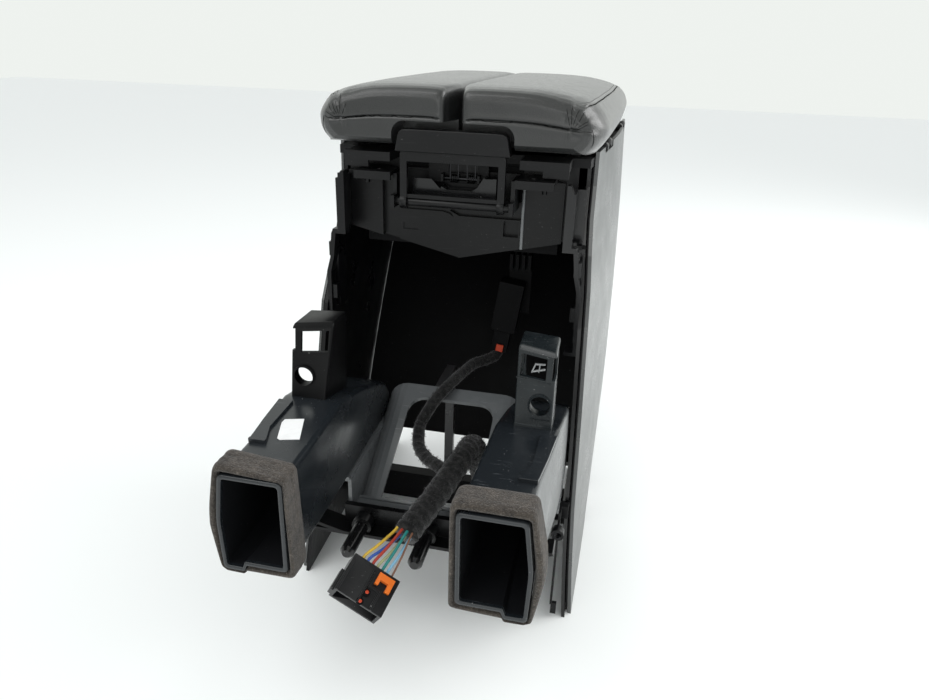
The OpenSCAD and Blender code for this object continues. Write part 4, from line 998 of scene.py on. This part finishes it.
def makeTower(name, side, finish):
    rings = []
    for n, z in enumerate(tower["rows"]):
        ring = roundedRing(towerWall(z, side), tower["wallRadii"])
        rings.append([place(side * p.x, p.y, z if n else lookUp(p.y, ductLine) - 0.5) for p in ring])
    piece = ringPiece(name, rings, finish)
    carve(piece, [prism(rectangle(*tower["window"]), -100, -60, side),
                  prism(rectangle(*tower["step"]), -100, -76, side),
                  prism(towerCircle(tower["hole"]), -100, -76, side)])
    extras = [towerCap(side, finish), towerCollar(side, finish)]
    if side > 0:
        extras += [towerRidge(*ends, finish) for ends in tower["ridges"]]
    joinPieces(piece, extras)
    shadeSmooth(piece.data, tower["sharpAngle"])
    softenEdges(piece, tower["edge"], tower["sharpAngle"])
    bakeModifiers(piece)
    return piece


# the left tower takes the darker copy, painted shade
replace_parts(makeTower("leftBracketTower", -1, "darkTower"), "left_tower")
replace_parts(makeTower("rightBracketTower", 1, "tower"), "right_tower")

windowClip = {
    "bars": [((81.6, 254.4), (84, 261.2), 0.9), ((83.6, 261), (91, 261.4), 0.7),
             ((81.4, 255), (91, 257.6), 1.0), ((86.6, 255), (87.2, 261.2), 0.7)],  # ends, thickness
    "depths": (-82.5, -80.5), "edge": 0.2,
}


def makeWindowClip(name):
    # pale spring clip caught in the right window
    blocks = []
    for a, b, thick in windowClip["bars"]:
        a, b = Vector(a), Vector(b)
        along = (b - a).normalized()
        across = Vector((-along.y, along.x)) * thick / 2
        outline = [a + across, a - across, b - across, b + across]
        blocks.append([[place(p.x, y, p.y) for p in outline] for y in windowClip["depths"]])
    blockPiece(name, blocks, "paleClip", windowClip["edge"])


makeWindowClip("rightWindowClip")
print("towers stand")


# foam round the mouths

foam = {
    "start": -205.7, "depth": 23.0, "thick": 7.8, "steps": 14, "tuck": 0.6, "gap": 0.1, "middle": (79, 180),
    "outerRadii": [4.4, 5.2, 4.4, 8, 4.2, 1, 1], "innerRadii": [3.2, 3.8, 3.2, 6, 3, 1, 1], "corner": 6,
    "underThin": 0.5, "sideThin": {-1: 0.12, 1: 0.05}, "flat": 0.74, "tornThin": 0.72, "shred": 1.6,
    "lump": 0.7, "grain": 0.5, "wander": 0.5,
}


def foamPoint(p, y, swell, side, seed):
    # where the foam's skin is, out from a point of the duct's wall
    out = (p - Vector(foam["middle"])).normalized()
    below = ease((150 - p.y) / 8)
    outer = ease((p.x - 96) / 6) * foam["sideThin"][side]
    torn = ease((68 - p.x) / 9) * ease((p.y - 190) / 14) if side < 0 else 0
    thick = foam["thick"] * (1 - foam["underThin"] * below - outer)
    thick *= (foam["flat"] + (1 - foam["flat"]) * swell) * (1 - foam["tornThin"] * torn)
    rough = foam["lump"] * noise.noise(Vector((p.x * 0.22, y * 0.3, p.y * 0.22 + seed)))
    rough += foam["grain"] * noise.noise(Vector((p.x * 0.7 + seed, y * 0.8, p.y * 0.7)))
    shred = foam["shred"] * torn * noise.noise(Vector((p.x * 0.9, y * 0.5, p.y * 0.9 + seed)))
    q = p + out * (thick + shred + rough * (0.4 + 0.6 * swell) - foam["tuck"])
    return place(side * q.x, y + foam["wander"] * noise.noise(Vector((p.x * 0.3, seed, p.y * 0.3))), q.y)


def makeGasket(name, side, seed):
    steps, grow = foam["steps"], duct["wall"] + foam["gap"]
    ys = [foam["start"] + foam["depth"] * k / steps for k in range(steps + 1)]
    points = []
    for n, y in enumerate(ys):
        edge = min(1.0, min(n, steps - n) / 3.5)
        swell = math.sqrt(1 - (1 - edge) ** 2)
        ring = roundedRing(ductCorners(y, grow), foam["outerRadii"], foam["corner"])
        points += [foamPoint(p, y, swell, side, seed) for p in ring]
    for y in (ys[-1], ys[0]):
        ring = roundedRing(ductCorners(y, grow), foam["innerRadii"], foam["corner"])
        points += [place(side * p.x, y, p.y) for p in ring]
    count = steps + 3
    piece = newPiece(name, points, loopFaces(count, len(points) // count), "foam")
    addModifier(piece, "SUBSURF", levels=1, render_levels=1)
    bakeModifiers(piece)
    return piece


leftGasket = makeGasket("leftFoamGasket", -1, 2.3)
rightGasket = makeGasket("rightFoamGasket", 1, 5.9)
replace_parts(leftGasket, "left_foam_gasket")
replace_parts(rightGasket, "right_foam_gasket")
print("foam is glued on")


# harness

harness = {
    "mainWidth": 21.0, "branchWidth": 10.4, "wireWidth": 2.4, "steps": 18,
    "lapStep": 0.1, "lapEdge": 0.08, "lump": 0.07, "fuzz": 0.06,  # shares of the radius, and of one lap
}
mainPoints = [(26, 80, 34), (26, 66, 50), (26.5, 46, 76), (27.5, 22, 106), (28, 0, 132), (28.6, -20, 148),
              (27, -42, 152.5), (20, -70, 147.5), (12.3, -106.8, 143), (4, -137.5, 139.7)]
branchPoints = [(29.4, 104, 188.2), (26.4, 98.5, 182.6), (18, 90, 180.6), (8.5, 78, 180.4), (2, 60, 178.6),
                (-5.5, 36, 176), (-13.5, 18, 169), (-20, 0, 159), (-21.5, -10, 153), (-17, -28, 146),
                (-6, -44, 145), (8, -58, 147.5), (20, -70, 147.5)]


def pathLength(path):
    return sum((b - a).length for a, b in zip(path, path[1:]))


fibre = {"count": 2600, "lean": 0.9, "scatter": 0.8, "length": (0.7, 2.4), "foot": 0.5, "thick": 0.13,
         "bend": 0.5}


def addFibres(piece, width, seed):
    # short loose hairs of the fleece, each a closed spike with its foot under the tape
    chance = random.Random(int(seed * 10))
    spots = [(v.co.copy(), v.normal.copy()) for v in piece.data.vertices]
    work = bmesh.new()
    work.from_mesh(piece.data)
    scatter, foot, thick = (fibre[k] * mm for k in ("scatter", "foot", "thick"))
    for _ in range(int(fibre["count"] * width / 10)):
        spot, normal = chance.choice(spots)
        lean = Vector([chance.uniform(-1, 1) for _ in range(3)])
        along = (normal + lean * fibre["lean"]).normalized()
        side = along.cross(lean).normalized()
        other = along.cross(side)
        spot = spot + side * chance.uniform(-scatter, scatter) + other * chance.uniform(-scatter, scatter)
        length = chance.uniform(*fibre["length"]) * mm
        low = [work.verts.new(spot - normal * foot + (side * math.cos(a) + other * math.sin(a)) * thick)
               for a in (0, 2.1, 4.2)]
        swing = side * chance.uniform(-fibre["bend"], fibre["bend"]) * length
        waist = [work.verts.new(v.co + along * (length * 0.6 + foot)) for v in low]
        tip = work.verts.new(spot + along * length + swing)
        work.faces.new(low)
        for k in range(3):
            n = (k + 1) % 3
            work.faces.new((low[k], waist[k], waist[n], low[n]))
            work.faces.new((waist[k], tip, waist[n]))
    bmesh.ops.recalc_face_normals(work, faces=work.faces)
    work.to_mesh(piece.data)
    work.free()


def wrappedTube(name, points, width, lap, seed, sides, core):
    # fleece tape wound round the bundle with half laps
    path = smoothRoute([place(*p) for p in points], harness["steps"])
    radius, length = width / 2 * mm, pathLength(path)
    rise, edge = harness["lapStep"], harness["lapEdge"]

    def skin(i, angle):
        turn = (i * length / len(path) / (lap * mm) + angle / (2 * math.pi)) % 1.0
        step = rise * (1 - turn) if turn > edge else rise * turn / edge
        across = Vector((math.cos(angle), math.sin(angle), seed))
        lump = harness["lump"] * noise.noise(path[i] * 90 + across)
        across = Vector((5 * math.cos(angle), 5 * math.sin(angle), seed))
        fuzz = harness["fuzz"] * noise.noise(path[i] * 900 + across)
        return radius * (core + step + lump + fuzz)
    piece = ringPiece(name, tubeRings(path, skin, sides), "fleece")
    addFibres(piece, width, seed)
    return piece, path


mainHarness, mainPath = wrappedTube("tapedMainHarness", mainPoints, harness["mainWidth"], 9, 1.5, 28, 0.87)
branchHarness, branchPath = wrappedTube("tapedBranch", branchPoints, harness["branchWidth"], 8, 4.5, 20, 0.96)
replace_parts(mainHarness, "harness_main")
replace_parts(branchHarness, "harness_branch")


wireColours = [
    ("yellowWire", (0.75, 0.5, 0.06)), ("blueWire", (0.05, 0.13, 0.5)), ("redWire", (0.45, 0.05, 0.03)),
    ("paleGreenWire", (0.42, 0.45, 0.24)), ("tealWire", (0.02, 0.24, 0.22)),
    ("lightBlueWire", (0.25, 0.5, 0.68)), ("brownWire", (0.2, 0.09, 0.05)),
]
wireRun = {"first": -7.2, "step": 2.4, "spread": 0.95, "stagger": 2.8, "from": (4, -135.5, 139.7),
           "to": (-16.9, -173.1, 139), "seatX": 3.38, "seatZ": -1.97, "usual": 0.92, "brown": 0.62}


def makeWire(name, colour, n):
    # from the taped end, a little slack, and straight into its seat
    across = wireRun["first"] + wireRun["step"] * n
    x, y, z = wireRun["from"]
    s = Vector((x + across * wireRun["spread"], y, z + wireRun["stagger"] * (-1) ** n))
    x, y, z = wireRun["to"]
    e = Vector((x + wireRun["seatX"] * n, y, z + wireRun["seatZ"] * n))
    corners = [s, s + Vector((-1.6, -5, -1)), blendTo(s, e, 0.55) + Vector((0.4, -1, 1.2)),
               e + Vector((0.9, 4.6, 1.6)), e + Vector((-0.6, -2.8, -1))]
    path = smoothRoute([place(*p) for p in corners], 8)
    width = harness["wireWidth"] * wireRun["brown" if name == "brownWire" else "usual"]
    wire = ringPiece(name, tubeRings(path, width / 2 * mm, 14), wireFinish(name, colour))
    return wire


wirePieces = [makeWire(name, colour, n) for n, (name, colour) in enumerate(wireColours)]
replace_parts(wirePieces[0], "wires")
print("harness is taped")


# pins that show in the connector's top

connectorTop = {
    "corner": (-7.4, -187.3, 132.7), "roll": 22, "lean": 30, "pins": [(1.7, -4.9), (0.4, -12.4)],
    "seat": [(2.6, -0.6), (2.6, 0.25), (2.3, 0.4), (1.9, 0.4)],  # radius, height
    "pin": [(1.25, -0.6), (1.25, 0.7), (0.9, 1.0)],
}


def connectorPlace(u, v, w):
    turn = Matrix.Rotation(math.radians(connectorTop["lean"]), 3, "Y") \
        @ Matrix.Rotation(math.radians(connectorTop["roll"]), 3, "X")
    return place(*(Vector(connectorTop["corner"]) + turn @ Vector((u, v, w))))


def makePins(name, finish, profile):
    blockPiece(name, [[[connectorPlace(u + r * math.cos(a), v + r * math.sin(a), w) for a in circleAngles(20)]
                       for r, w in profile] for u, v in connectorTop["pins"]], finish)


makePins("connectorPinSeats", "deepShade", connectorTop["seat"])
makePins("connectorPins", "redLock", connectorTop["pin"])
print("pins are set")
